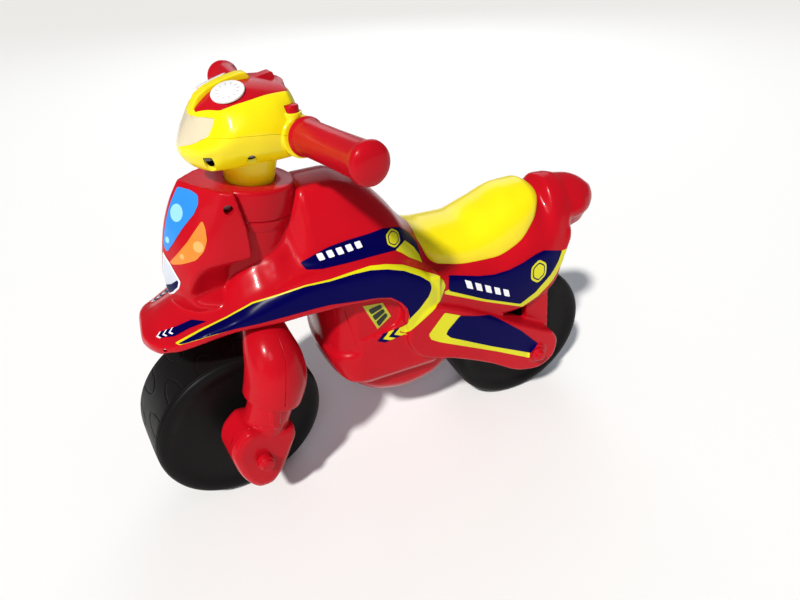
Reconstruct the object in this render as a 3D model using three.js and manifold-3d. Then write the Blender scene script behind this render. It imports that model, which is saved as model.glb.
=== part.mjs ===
import * as THREE from 'three';
import { mergeVertices } from 'three/addons/utils/BufferGeometryUtils.js';
import Module from 'manifold-3d';

// A ride-on toy motorcycle in millimetres: +X is forward, +Y is the rider's left, +Z is up.
// The origin is the point where the rear wheel stands on the floor.

const wasm = await Module();
wasm.setup();

// Driving dimensions
const WHEEL_R = 110;
const WHEELBASE = 431;
const FRONT_WHEEL_LIFT = 0.5;
const AXIS_X = -34.4;
const AXIS_Z = 110.4;
const RAKE = THREE.MathUtils.degToRad(8.5);
const STEER = THREE.MathUtils.degToRad(9.4);
const FIT = 0.3;
const RUN = 0.6;
const SPLIT = 0.15;
const WELD = 1e-4;

// Facet counts
const WHEEL_SIDES = 32;
const ROUND = 20;
const SMALL_ROUND = 12;

// Wheel wall, from the hub to the middle of the tread and back inside: radii as shares of the tread's
const HUB_HALF = 50;
const HUB_R = 20;
const WALL_SHARES = [0.22, 0.7, 0.86, 0.93, 0.975, 0.99, 1];
const WALL_HALF = [41, 42, 45.5, 46.5, 46, 41, 20];
const INSIDE_SHARES = [0.965, 0.945, 0.8, 0.18];
const INSIDE_HALF = [20, 40, 41, 37];

// Axles and caps
const AXLE_R = 5;
const AXLE_HALF = 96;
const AXLE_CAP_R = 11;
const CAP_SHARES = [[0, 0], [1, 0], [1, 0.55], [0.86, 0.86], [0.5, 1], [0, 1]];
const AXLE_CAP_PROUD = 8;
const REAR_CAP_Y = 104.3;
const FRONT_CAP_R = 10;
const FRONT_CAP_PROUD = 12.5;

// Rear arms and front shoes
const ARM_OUTER_Y = 92;
const ARM_INNER_Y = 52;
const ARM_BEVEL = 5;
const ARM_BOSS_R = 15;
const ARM_BOSS_PROUD = 3.5;
const SHOE_INNER_Y = 55;
const SHOE_OUTER_Y = 111;
const SHOE_BEVEL = 9;
const TYRE_ROOM = 8;

// What steers, the cowl and the neck are placed from the floor below the front wheel.

// Heights along the steering axis, counted from its foot at axle height, and radii about it
const COLLAR_TOP = 314;
const COLLAR_R = 50;
const COLLAR_LIP = 4;
const SEAM_DROP = 34.5;
const SEAM_DEPTH = 1.2;
const NECK_FOOT = 175;
const NECK_TAPER = 2;
const STEM_FOOT = 276;
const STEM_FOOT_R = 25.5;
const STEM_R = 27.4;
const STEM_TOP = 352;
const STEM_TOP_R = 33;
const STEERER_R = 16;
const STEERER_FOOT = 150;
const STEERER_TOP = 338;
const STEM_WEB = 4;
const BOLT_R = 4;
const BOLT_HEAD_R = 8;
const BOLT_HEAD_H = 4;
const BOLT_LENGTH = 22;
const BOLT_BOSS_R = 11;

// Handlebar grips and tube
const GRIP_IN = new THREE.Vector3(-125.5, 66.8, 475);
const GRIP_OUT = new THREE.Vector3(-129, 187, 484);
const GRIP_TUBE_R = 18.5;
const GRIP_FLANGE_R = 20.8;
const GRIP_FLANGE = 6;
const GRIP_FLANGE_EDGE = 1.5;
const GRIP_END = 9;
const GRIP_END_EDGE = 4;
const BAR_R = 9;
const BAR_END = 12;
const BAR_MIDDLE = new THREE.Vector3(-122, 0, 472);
const GRIP_COLLAR_R = 21.5;
const GRIP_COLLAR_FORWARD = 3.5;
const GRIP_COLLAR_LENGTH = 26;

// Buttons
const BUTTON_X = -118;
const BUTTON_Y = 56;
const BUTTON_R = 7.3;
const BUTTON_CROWN = 1.5;
const BUTTON_TOP = 506.5;
const BUTTON_SKIRT = 12;
const BUTTON_POCKET = 8;
const BUTTON_BOSS_FOOT = 484;
const BUTTON_BOSS_TOP = 499.5;
const BUTTON_BOSS_WALL = 2.2;
const SPRING_R = 4;
const SPRING_WIRE = 0.6;
const SPRING_TURNS = 4;
const SPRING_STEPS = 32;

// Dials
const DIAL_CENTRE = new THREE.Vector3(-66.5, 25.8, 521.6);
const DIAL_R = 17;
const DIAL_THICK = 1.6;
const DIAL_POCKET = 10;
const DIAL_TILT = new THREE.Vector3(0.28, 0.28, 1).normalize();

// Upper outline of the body, ridge to keel on the left side, as [y, z] at each x
const BODY = [
  [508, [0, 268], [10, 268], [17, 267.5], [21, 266.5], [24, 265], [25, 263], [25, 260], [24, 258],
    [21, 256], [0, 255]],
  [505.5, [0, 273], [12, 273], [20, 272.5], [25, 271.5], [29, 269.5], [31, 267], [31, 261], [30, 257],
    [27, 254], [0, 253]],
  [501, [0, 275], [13, 274.5], [24, 273.5], [32, 272], [38, 270.5], [41, 268], [41, 262], [39, 257],
    [35, 253], [0, 252]],
  [492, [0, 278], [15, 277], [28, 274], [38, 271.5], [46, 270], [51, 268], [53, 263], [52, 258], [49, 254],
    [0, 253]],
  [482, [0, 283], [16, 281], [31, 277], [42, 274], [51, 272], [58, 270], [62, 267], [61.5, 262], [58, 259],
    [0, 258]],
  [471, [0, 287], [17, 285], [32, 281], [44, 278], [54, 275.5], [63, 273], [68.5, 270], [69, 265],
    [66, 262], [0, 261]],
  [440, [0, 297], [21, 295], [36, 292], [49, 289], [61, 286], [71, 284], [78, 281], [79, 275], [75, 271],
    [0, 270]],
  [410, [0, 308], [25, 308], [40, 306], [54, 301], [64, 296], [73, 291], [80, 286], [81, 279], [77, 275],
    [0, 274]],
  [388, [0, 330], [28, 330], [44, 329], [56, 318], [67, 308], [79, 300], [85, 292], [86, 281], [82, 277],
    [0, 276]],
  [366, [0, 344], [28, 344], [46, 340], [57, 329], [69, 317], [82, 308], [88, 297], [89, 281], [84, 277],
    [0, 276]],
  [348, [0, 353], [28, 352], [49, 344], [61, 330], [71, 319], [84, 314], [90, 301], [91, 282], [86, 278],
    [0, 277]],
  [325, [0, 392], [26, 380], [46, 350], [58, 334], [68, 325], [85, 320], [91, 305], [92, 283], [87, 279],
    [0, 278]],
  [300, [0, 412], [27, 408], [46, 380], [59, 352], [69, 328], [86, 322], [92, 305], [93, 283], [88, 279],
    [0, 278]],
  [265, [0, 413], [29, 408], [48, 381], [61, 354], [71, 329], [87, 322], [93, 303], [93, 281], [88, 277],
    [0, 276]],
  [240, [0, 405], [30, 399], [49, 376], [62, 352], [71, 328], [87, 321], [93, 300], [93, 279], [88, 275],
    [0, 274]],
  [218, [0, 388], [29, 382], [48, 366], [61, 348], [71, 323], [87, 314], [93, 294], [92, 268], [88, 262],
    [0, 262]],
  [196, [0, 364], [28, 359], [47, 348], [59, 331], [69, 310], [86, 301], [92, 280], [91, 232], [88, 205],
    [0, 205]],
  [176, [0, 337], [27, 332], [46, 322], [57, 303], [67, 292], [84, 288], [91, 268], [89, 230], [86, 205],
    [0, 205]],
  [160, [0, 322], [26, 318], [44, 305], [55, 286], [66, 280], [83, 274], [86, 258], [84, 228], [82, 200],
    [0, 200]],
  [140, [0, 317], [26, 312], [44, 299], [56, 280], [65, 276], [75, 270], [79, 256], [80, 228], [79, 192],
    [0, 192]],
  [100, [0, 313], [27, 308], [46, 294], [57, 272], [65, 267], [73, 261], [77, 248], [78, 222], [77, 188],
    [0, 188]],
  [60, [0, 327], [27, 321], [46, 301], [57, 270], [64, 264], [71, 257], [75, 246], [76, 222], [75, 184],
    [0, 184]],
  [20, [0, 342], [25, 336], [42, 316], [54, 279], [61, 272], [68, 263], [72, 250], [74, 224], [73, 184],
    [0, 184]],
  [-10, [0, 343], [22, 337], [36, 320], [46, 302], [54, 286], [63, 269], [69, 253], [71, 230], [70, 190],
    [0, 190]],
  [-27, [0, 331], [17, 328], [29, 319], [42, 305], [52, 288], [60, 270], [66, 252], [69, 230], [68, 198],
    [0, 198]],
  [-42, [0, 347], [19, 343], [34, 330], [46, 309], [53, 290], [58, 272], [62, 252], [65, 228], [64, 208],
    [0, 208]],
  [-57, [0, 347], [18, 343], [33, 329], [44, 309], [50, 291], [54, 276], [58, 262], [60, 252], [60, 246],
    [0, 246]],
  [-65, [0, 345], [17, 341], [31, 328], [42, 308], [48, 293], [51, 283], [55, 274], [56, 264], [54, 257],
    [0, 257]],
  [-71, [0, 343], [16, 339], [30, 326], [40, 307], [45, 295], [43, 287], [49, 275], [50, 266], [46, 260],
    [0, 259]],
  [-76, [0, 342], [16, 338], [30, 325], [39, 306], [43, 296], [41, 288], [33, 281], [29, 271], [23, 263],
    [0, 262]],
  [-95, [0, 338], [15, 335], [27, 324], [37, 308], [40, 298], [38, 290], [30, 284], [25, 274], [19, 264],
    [0, 262]],
  [-111, [0, 331], [14, 328], [25, 318], [31, 306], [33, 298], [31, 291], [26, 285], [21, 276], [15, 266],
    [0, 264]],
  [-124, [0, 321], [11, 320], [17, 315], [21, 308], [22, 301], [20, 294], [17, 288], [13, 281], [9, 275],
    [0, 273]],
];

// Headlight cowl, outline from the nose to the rear edge as [x, y] at each z
const COWL = [
  [284, [31, 0], [25, 18], [15, 34], [2, 45], [-14, 52], [-28, 57], [-31, 0]],
  [298, [35, 0], [29, 18], [18, 35], [6, 47], [-10, 53], [-27, 57], [-31, 0]],
  [312, [36, 0], [29, 19], [18, 36], [10, 41], [-5, 38], [-27, 34], [-46, 0]],
  [324, [35.5, 0], [28, 19.5], [16, 37], [9, 44.5], [-7, 41], [-29, 36], [-48, 0]],
  [338, [33, 0], [25, 20], [13, 38], [2, 48.5], [-11, 46], [-31, 40], [-51, 0]],
  [346, [31.5, 0], [23.5, 20], [11.5, 38], [-4, 50.5], [-21, 52], [-41, 48], [-54, 0]],
  [353, [30, 0], [22, 20], [10, 38], [-7, 51.5], [-27, 58], [-59, 60], [-59, 0]],
  [381, [22, 0], [14, 19], [0, 37], [-17, 50], [-33, 56], [-60, 58], [-60, 0]],
  [410, [9, 0], [0, 17], [-15, 35], [-29, 46], [-41, 52], [-57, 54], [-57, 0]],
  [426, [-1, 0], [-10, 14], [-22, 29], [-34, 40], [-44, 47], [-55, 50], [-55, 0]],
  [446, [-17, 0], [-21, 8], [-28, 18], [-36, 28], [-45, 37], [-53, 42], [-53, 0]],
];

// Engine block between the wheels, outline from the front to the rear as [x, y] at each z
const ENGINE = [
  [140, [291, 0], [288, 32], [282, 55], [274, 68], [255, 76], [160, 76], [160, 0]],
  [152, [299, 0], [296, 34], [290, 58], [282, 74], [262, 82], [158, 82], [158, 0]],
  [186, [307, 0], [304, 34], [298, 58], [284, 74], [264, 80], [156, 84], [156, 0]],
  [196, [304, 0], [301, 34], [293, 58], [272, 73], [262, 79], [156, 85], [156, 0]],
  [240, [308, 0], [304, 34], [291, 58], [270, 73], [262, 77.5], [156, 86], [156, 0]],
  [282, [313, 0], [308, 34], [292, 58], [272, 73], [262, 77.5], [156, 86], [156, 0]],
];

// Belly pan below the engine, keel to rim as [y, z] at each x
const BELLY = [
  [278, [0, 128], [26, 129], [46, 133], [55, 141], [57, 152], [0, 152]],
  [260, [0, 106], [30, 108], [51, 117], [61, 131], [63, 152], [0, 152]],
  [232, [0, 88], [32, 91], [54, 102], [65, 121], [67, 152], [0, 152]],
  [196, [0, 80], [33, 84], [55, 96], [66, 115], [68, 152], [0, 152]],
  [160, [0, 85], [32, 89], [54, 101], [65, 119], [67, 152], [0, 152]],
  [132, [0, 101], [29, 105], [50, 114], [60, 130], [62, 152], [0, 152]],
];

// Rear arm and strut, side outlines as [x, z]
const ARM = [
  [170, 244], [140, 232], [60, 186], [-8, 147], [-30, 134], [-38, 116], [-36, 98], [-26, 84], [-8, 77],
  [20, 82], [75, 114], [135, 146], [190, 172], [205, 205],
];
const STRUT = [[10, 200], [-28, 205], [-36, 128], [-4, 120], [4, 150]];
const STRUT_OUTER_Y = 66;

// Arch recess in the side panel, outline as [x, z], and its floor
const ARCH = [
  [300, 268], [282, 277], [241, 276], [226, 271], [212, 257], [207, 243], [210, 231], [219, 222],
  [236, 217], [262, 213], [300, 208],
];
const ARCH_FLOOR_Y = 76;

// Wells inside the body
const REAR_WELL_R = 119;
const REAR_WELL_HALF = 52;
const FRONT_WELL = [
  [63, [0, 266], [20, 266], [34, 263], [46, 259], [46, 200], [0, 200]],
  [39, [0, 278], [26, 275], [42, 271], [62, 265], [62, 200], [0, 200]],
  [9, [0, 290], [28, 288], [44, 284], [71, 274], [74, 200], [0, 200]],
  [-11, [0, 296], [34, 293], [52, 289], [76, 280], [77, 200], [0, 200]],
  [-31, [0, 300], [36, 296], [54, 290], [78, 284], [79, 200], [0, 200]],
  [-91, [0, 302], [40, 300], [60, 292], [83, 288], [84, 200], [0, 200]],
  [-109, [0, 302], [40, 300], [60, 292], [84, 288], [85, 200], [0, 200]],
];
const TANK_WELL = [
  [322, [0, 360], [24, 354], [42, 336], [52, 318], [72, 300], [84, 290], [84, 262], [0, 262]],
  [265, [0, 389], [26, 384], [43, 368], [55, 347], [66, 318], [83, 300], [66, 262], [0, 262]],
  [240, [0, 388], [27, 382], [44, 366], [56, 346], [66, 318], [80, 300], [66, 262], [0, 262]],
  [198, [0, 352], [25, 348], [42, 339], [53, 324], [64, 304], [80, 288], [66, 262], [0, 262]],
];
const ENGINE_WELL_X = [176, 286];
const ENGINE_WELL_HALF = 62;
const ENGINE_WELL_Z = [104, 262];
const DECK_WELL_X = [-60, 176];
const DECK_WELL_HALF = 42;
const DECK_WELL_Z = [200, 268];

// Seat edge half width, edge height and crown height at each x
const SEAT = [
  [166, 38, 312, 324], [158, 49, 294, 322], [140, 55.5, 282, 319], [100, 57, 273, 319], [60, 57, 271, 333],
  [20, 53, 281, 348], [-6, 45, 302, 349], [-20, 32, 319, 342], [-27, 16, 328, 334],
];
const SEAT_THICK = 4;
const SEAT_DROP = 2;
const SEAT_SPAN = 9;
const SEAT_CROWN_SHARE = 0.8;

// Handlebar head, top to keel as [y, z] at each x, before the steering turns it
const HEAD = [
  [-13.5, [0, 473], [3, 472.5], [6, 471], [8, 468.5], [8, 466], [6, 463], [3, 461], [0, 460.5]],
  [-19, [0, 483], [8, 481.5], [16, 478], [22, 473], [23, 468], [19, 460], [11, 454], [0, 452]],
  [-27, [0, 494], [14, 492], [25, 487], [33, 479], [37, 471], [34, 463], [22, 450], [0, 446.5]],
  [-35, [0, 503], [12, 503], [25, 499], [37, 489], [46, 475], [42, 466], [29, 448], [0, 446]],
  [-43, [0, 509], [14, 508.5], [28, 506.5], [44, 494], [54, 480], [48.5, 469], [36, 447], [0, 446]],
  [-57, [0, 515], [22, 514], [41, 510.5], [53, 501], [61, 486], [56, 471], [44, 447], [0, 446]],
  [-79, [0, 520], [25, 519], [45, 514.5], [58, 503], [64, 485], [60.5, 470], [47, 446.5], [0, 446]],
  [-101, [0, 521], [25, 520], [45, 517], [59, 504], [65, 481], [61, 467], [47, 446], [0, 446]],
  [-118, [0, 518], [22, 518], [44, 517], [57, 501], [65, 478], [59, 462], [46, 447], [0, 447]],
  [-127, [0, 516], [18, 516], [30, 515], [49, 500], [58, 476], [52, 462], [41, 451], [0, 450]],
  [-133.5, [0, 512], [13, 511], [24, 508], [38, 490], [43, 474], [39, 467], [29, 460], [0, 459]],
];
const HEAD_WALL = 3;
const LEAST_SHARE = 0.1;
const PARTING = [
  [9, 464], [-14, 465.5], [-27, 477], [-43, 485], [-60, 487], [-92, 484], [-121, 476], [-161, 475],
];
const SPINE = [
  [-30, 498], [-34, 507], [-41, 517], [-52, 523.2], [-65, 527.4], [-76, 529.8], [-87, 531.6],
  [-94.5, 531.4], [-97.5, 527], [-97.5, 511], [-51, 505], [-35, 496],
];
const HUMP = [[-98, 524.5], [-111, 526.3], [-121.5, 528], [-123.5, 526], [-125, 516], [-98, 516]];
const SPINE_HALF = 7;
const SPINE_BEVEL = 2.5;
const LENS_MIDDLE_X = -21;
const LENS_MIDDLE_Z = 485;
const LENS = [
  [-44, 504], [-38.5, 489], [-26.5, 477], [-19, 470], [-14, 465.5], [9, 464], [9, 497.5], [-34, 497.5],
];
const DASH = [
  [-36, 12, 506.5, 505], [-43, 24, 512, 507], [-54, 40, 519, 510], [-64, 42.5, 522.5, 512],
  [-76.5, 44.5, 525, 514.5], [-92, 45, 525.5, 516.5], [-109, 44.5, 524, 517], [-120, 44, 522, 517.3],
  [-126, 27, 521, 518], [-131.5, 10, 520.5, 519.5],
];
const DASH_DEPTH = 8;
const DASH_CROWN_SHARE = 2.6;

// Electrics inside the head
const TRAY_X = [-73.5, -38.5];
const TRAY_HALF = 24.6;
const TRAY_Z = [450.6, 464];
const TRAY_PAD = 3;
const TRAY_WALL = 1.5;
const CELL_R = 5.2;
const CELL_HALF = 21.6;
const CELL_TIP_R = 2;
const CELL_TIP = 1;
const CELL_PITCH = 10.8;
const CELLS = 3;
const BOARD_THICK = 1.6;
const SPEAKER_R = 14;
const SPEAKER_H = 6;
const LED_R = 2.5;
const LED_LENGTH = 7;
const LED_Y = 12;
const REFLECTOR = [
  [-47.5, 505], [-41.7, 489], [-30.2, 475.5], [-19, 466.5], [-20.5, 465], [-31.7, 474], [-43.5, 488],
  [-49.4, 504.3],
];

// Screws
const SCREW_HEAD_R = 4;
const SCREW_HEAD_H = 2.6;
const SCREW_SHAFT_R = 1.9;
const SCREW_TIP = 3;
const SCREW_WELL_R = 5.2;
const SCREW_WELL_OUT = 80;
const COWL_SCREW = new THREE.Vector3(-46, 40, 409);
const COWL_SCREW_LENGTH = 14;
const HEAD_SCREWS = [[-32, 36, 16], [-70, 53, 24]];
const HEAD_SCREW_Z = 466;
const HEAD_SCREW_BACKING = 3;
const POST_WALL = 2;

// Colours
const paint = (color, roughness, metalness = 0) => ({ color, roughness, metalness });
const RED = paint(0xc8141e, 0.3);
const YELLOW = paint(0xf5dc0a, 0.3);
const BLACK = paint(0x18181a, 0.45);
const WHITE = paint(0xf2f2ee, 0.4);
const CLEAR = paint(0xe8e2cf, 0.1);
const STEEL = paint(0xb4b6ba, 0.35, 1);
const CHROME = paint(0xd8dadc, 0.15, 1);
const GREEN = paint(0x1e6b3a, 0.5);
const BLUE = paint(0x1b3fa0, 0.4);

// Far enough to run past the whole part
const REACH = 2000;

const model = new THREE.Group();
model.name = 'ride_on_motorcycle';

// Solids

function signedVolume(geometry) {
  const p = geometry.attributes.position;
  const index = geometry.index.array;
  const a = new THREE.Vector3();
  const b = new THREE.Vector3();
  const c = new THREE.Vector3();
  let sum = 0;
  for (let i = 0; i < index.length; i += 3) {
    a.fromBufferAttribute(p, index[i]);
    b.fromBufferAttribute(p, index[i + 1]);
    c.fromBufferAttribute(p, index[i + 2]);
    sum += a.dot(b.cross(c));
  }
  return sum;
}

// The same shape with shared corners and every face pointing outwards
function closed(source) {
  const bare = source.clone();
  bare.deleteAttribute('normal');
  bare.deleteAttribute('uv');
  const merged = mergeVertices(bare, WELD);
  const index = merged.index.array;
  if (signedVolume(merged) < 0) {
    for (let i = 0; i < index.length; i += 3) [index[i], index[i + 1]] = [index[i + 1], index[i]];
  }
  return merged;
}

function solid(source) {
  const merged = closed(source);
  const triVerts = Uint32Array.from(merged.index.array);
  const vertProperties = Float32Array.from(merged.attributes.position.array);
  return new wasm.Manifold(new wasm.Mesh({ numProp: 3, vertProperties, triVerts }));
}

function toGeometry(manifold) {
  const mesh = manifold.getMesh();
  const geometry = new THREE.BufferGeometry();
  geometry.setAttribute('position', new THREE.BufferAttribute(Float32Array.from(mesh.vertProperties), 3));
  geometry.setIndex(new THREE.BufferAttribute(Uint32Array.from(mesh.triVerts), 1));
  return geometry;
}

const SIDES = [[1, 'left'], [-1, 'right']];
const union = (solids) => solids.reduce((sum, next) => sum.add(next));

function loft(rings) {
  const count = rings[0].length;
  const points = rings.flat();
  const index = [];
  for (let i = 0; i + 1 < rings.length; i += 1) {
    for (let j = 0; j < count; j += 1) {
      const a = i * count + j;
      const b = i * count + ((j + 1) % count);
      index.push(a, b, a + count, b, b + count, a + count);
    }
  }
  [rings[0], rings[rings.length - 1]].forEach((ring, end) => {
    const centre = ring.reduce((sum, p) => sum.add(p), new THREE.Vector3()).divideScalar(count);
    const first = end === 0 ? 0 : (rings.length - 1) * count;
    points.push(centre);
    for (let j = 0; j < count; j += 1) {
      const pair = [first + j, first + ((j + 1) % count)];
      if (end === 0) pair.reverse();
      index.push(...pair, points.length - 1);
    }
  });
  const geometry = new THREE.BufferGeometry();
  const corners = new Float32Array(points.flatMap((p) => [...p]));
  geometry.setAttribute('position', new THREE.BufferAttribute(corners, 3));
  geometry.setIndex(index);
  return geometry;
}

function mirrored(half) {
  const back = half.slice(1, -1).reverse().map((p) => new THREE.Vector3(p.x, -p.y, p.z));
  return [...half, ...back];
}

const across = (x, half) => mirrored(half.map(([y, z]) => new THREE.Vector3(x, y, z)));
const level = (z, half) => mirrored(half.map(([x, y]) => new THREE.Vector3(x, y, z)));
const acrossX = (table) => loft(table.map(([x, ...half]) => across(x, half)));
const upZ = (table) => loft(table.map(([z, ...half]) => level(z, half)));

function prism(outline, yLow, yHigh, bevel = 0) {
  const shape = new THREE.Shape(outline.map(([x, z]) => new THREE.Vector2(x, z)));
  const options = {
    depth: yHigh - yLow - 2 * bevel,
    bevelEnabled: bevel > 0,
    bevelSize: bevel,
    bevelThickness: bevel,
    bevelOffset: -bevel,
    bevelSegments: 2,
  };
  return new THREE.ExtrudeGeometry(shape, options).rotateX(Math.PI / 2).translate(0, yHigh - bevel, 0);
}

function box([x0, x1], [y0, y1], [z0, z1]) {
  const geometry = new THREE.BoxGeometry(x1 - x0, y1 - y0, z1 - z0);
  return geometry.translate((x0 + x1) / 2, (y0 + y1) / 2, (z0 + z1) / 2);
}

function turned(profile, sides) {
  const points = profile.map(([r, h]) => new THREE.Vector2(r, h));
  return new THREE.LatheGeometry(points, sides).rotateX(Math.PI / 2);
}

// A solid of revolution whose heights run from one point towards another
function turnedAlong(from, towards, profile, sides) {
  const direction = towards.clone().sub(from).normalize();
  const turn = new THREE.Quaternion().setFromUnitVectors(new THREE.Vector3(0, 0, 1), direction);
  return turned(profile, sides).applyQuaternion(turn).translate(from.x, from.y, from.z);
}

function rod(from, to, r, sides = SMALL_ROUND) {
  return turnedAlong(from, to, [[0, 0], [r, 0], [r, from.distanceTo(to)], [0, from.distanceTo(to)]], sides);
}

// A round bar through centres with a radius at each, turned to follow them
function sweep(stations, sides) {
  const rings = stations.map(([centre, r], i) => {
    const before = stations[Math.max(i - 1, 0)][0];
    const after = stations[Math.min(i + 1, stations.length - 1)][0];
    const along = after.clone().sub(before).normalize();
    const side = new THREE.Vector3(1, 0, 0).addScaledVector(along, -along.x).normalize();
    const up = along.clone().cross(side);
    return Array.from({ length: sides }, (_, k) => {
      const t = (k / sides) * 2 * Math.PI;
      return centre.clone().addScaledVector(side, r * Math.cos(t)).addScaledVector(up, r * Math.sin(t));
    });
  });
  return loft(rings);
}

const flipY = (geometry) => geometry.clone().scale(1, -1, 1);
const bothSides = (geometry) => solid(geometry).add(solid(flipY(geometry)));

// From the front wheel's frame, with its origin on the floor below that wheel, to the whole part's
const toFront = (geometry) => geometry.translate(WHEELBASE, 0, 0);

const AXIS = new THREE.Vector3(-Math.sin(RAKE), 0, Math.cos(RAKE));
const AXIS_FOOT = new THREE.Vector3(AXIS_X, 0, AXIS_Z);
const onAxis = (height) => AXIS_FOOT.clone().addScaledVector(AXIS, height);
const aboutAxis = (profile, sides) => turnedAlong(AXIS_FOOT, onAxis(1), profile, sides);

function steered(geometry) {
  const turn = new THREE.Quaternion().setFromAxisAngle(AXIS, STEER);
  const foot = AXIS_FOOT;
  geometry.translate(-foot.x, -foot.y, -foot.z).applyQuaternion(turn);
  return toFront(geometry.translate(foot.x, foot.y, foot.z));
}

function put(name, geometry, look) {
  const merged = closed(geometry);
  merged.computeVertexNormals();
  const mesh = new THREE.Mesh(merged, new THREE.MeshStandardMaterial(look));
  mesh.name = name;
  model.add(mesh);
}

const putSolid = (name, manifold, look) => put(name, toGeometry(manifold), look);
const putSteered = (name, geometry, look) => put(name, steered(geometry), look);

// Wheels and axles

function wheelGeometry() {
  const rim = WHEEL_R / Math.cos(Math.PI / WHEEL_SIDES);
  const bore = AXLE_R + FIT;
  const wall = WALL_SHARES.map((share, i) => [rim * share, WALL_HALF[i]]);
  const inside = INSIDE_SHARES.map((share, i) => [rim * share, INSIDE_HALF[i]]);
  const outer = [[bore, HUB_HALF], [HUB_R, HUB_HALF], ...wall];
  const inner = [...inside, [bore, INSIDE_HALF[INSIDE_HALF.length - 1]]];
  const other = (points) => points.map(([r, h]) => [r, -h]).reverse();
  const loop = [...outer, ...other(outer), ...other(inner), ...inner, outer[0]];
  return turned(loop, WHEEL_SIDES).rotateZ(Math.PI / WHEEL_SIDES).rotateX(Math.PI / 2);
}

const REAR_AXLE = new THREE.Vector3(0, 0, WHEEL_R);
const FRONT_AXLE = new THREE.Vector3(0, 0, WHEEL_R + FRONT_WHEEL_LIFT);
const acrossFrom = (centre, y) => new THREE.Vector3(centre.x, y, centre.z);

function axleCap(centre, side, r, tip, proud) {
  const inner = tip - proud;
  const profile = CAP_SHARES.map(([wide, high]) => [wide * r, high * proud]);
  return turnedAlong(acrossFrom(centre, side * inner), acrossFrom(centre, side * tip), profile, SMALL_ROUND);
}

const axle = (centre, half) => rod(acrossFrom(centre, -half), acrossFrom(centre, half), AXLE_R);

put('rear_wheel', wheelGeometry().translate(0, 0, WHEEL_R), BLACK);
put('rear_axle', axle(REAR_AXLE, AXLE_HALF), STEEL);
putSteered('front_wheel', wheelGeometry().translate(0, 0, WHEEL_R + FRONT_WHEEL_LIFT), BLACK);
putSteered('front_axle', axle(FRONT_AXLE, SHOE_OUTER_Y), STEEL);
for (const [side, word] of SIDES) {
  put(`rear_axle_cap_${word}`, axleCap(REAR_AXLE, side, AXLE_CAP_R, REAR_CAP_Y, AXLE_CAP_PROUD), RED);
  const tip = SHOE_OUTER_Y + FIT + FRONT_CAP_PROUD;
  putSteered(`front_axle_cap_${word}`, axleCap(FRONT_AXLE, side, FRONT_CAP_R, tip, FRONT_CAP_PROUD), RED);
}

// Fork

const FORK_LEG = [
  [-7, 83, 128, 28], [-19, 85, 150, 30], [-30, 86, 177, 31], [-31.5, 86, 180, 34.5], [-36, 86, 192, 36.5],
  [-41, 86, 208, 37], [-43, 83, 226, 35], [-44, 73, 242, 31], [-47, 55, 254, 26], [-52, 30, 261, 23.5],
];
const FORK_CROWN = [-55, 0, 263, 23];
const SHOE = [
  [9, 165], [21, 158], [31, 146], [35.5, 129], [32, 102], [24, 77], [10, 61], [-2, 59], [-17, 70],
  [-29, 88], [-40, 110], [-47, 128], [-46, 137], [-33, 143], [-17, 149], [-4, 157],
];

function forkGeometry() {
  const left = FORK_LEG.map(([x, y, z, r]) => [new THREE.Vector3(x, y, z), r]);
  const right = FORK_LEG.map(([x, y, z, r]) => [new THREE.Vector3(x, -y, z), r]).reverse();
  const [x, y, z, r] = FORK_CROWN;
  const arch = solid(sweep([...left, [new THREE.Vector3(x, y, z), r], ...right], ROUND));
  const shoes = bothSides(prism(SHOE, SHOE_INNER_Y, SHOE_OUTER_Y, SHOE_BEVEL));
  const steerer = solid(rod(onAxis(STEERER_FOOT), onAxis(STEERER_TOP), STEERER_R, ROUND));
  const end = (half) => acrossFrom(FRONT_AXLE, half);
  const through = (half, radius, sides) => solid(rod(end(-half), end(half), radius, sides));
  const bore = through(SHOE_OUTER_Y + SHOE_BEVEL, AXLE_R + FIT, SMALL_ROUND);
  const tyreRoom = through(SHOE_INNER_Y, WHEEL_R + TYRE_ROOM, ROUND);
  const thread = solid(rod(onAxis(STEERER_TOP - BOLT_LENGTH), onAxis(STEM_TOP), BOLT_R + FIT));
  return toGeometry(union([arch, shoes, steerer]).subtract(union([bore, thread, tyreRoom])));
}

putSteered('fork', forkGeometry(), RED);

// Body

function seatRing(x, halfWidth, edgeZ, crownZ, inset) {
  const w = halfWidth - inset;
  const h = crownZ - edgeZ - inset;
  return Array.from({ length: SEAT_SPAN }, (_, k) => {
    const t = (k / (SEAT_SPAN - 1)) * Math.PI;
    return new THREE.Vector3(x, w * Math.cos(t), edgeZ + h * Math.sin(t) ** SEAT_CROWN_SHARE);
  });
}

function seatGeometry() {
  const cushion = SEAT.map(([x, w, edge, crown]) => {
    return [...seatRing(x, w, edge, crown, 0), new THREE.Vector3(x, 0, edge - SEAT_DROP)];
  });
  const inside = SEAT.slice(1, -1).map(([x, w, edge, crown]) => {
    const over = seatRing(x, w, edge, crown, SEAT_THICK);
    const foot = (p) => new THREE.Vector3(p.x, p.y, edge - 2 * SEAT_THICK);
    return [foot(over[0]), ...over, foot(over[over.length - 1])];
  });
  return toGeometry(solid(loft(cushion)).subtract(solid(loft(inside))));
}

function seatRoom() {
  const grown = SEAT.map(([x, w, edge, crown], i) => {
    const shift = i === 0 ? FIT : i === SEAT.length - 1 ? -FIT : 0;
    const over = seatRing(x + shift, w, edge, crown, -FIT);
    return [...over, new THREE.Vector3(x + shift, 0, edge - SEAT_DROP - FIT)];
  });
  return solid(loft(grown));
}

function archCut() {
  return bothSides(prism(ARCH, ARCH_FLOOR_Y, ARM_OUTER_Y + ARM_BEVEL));
}

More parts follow.
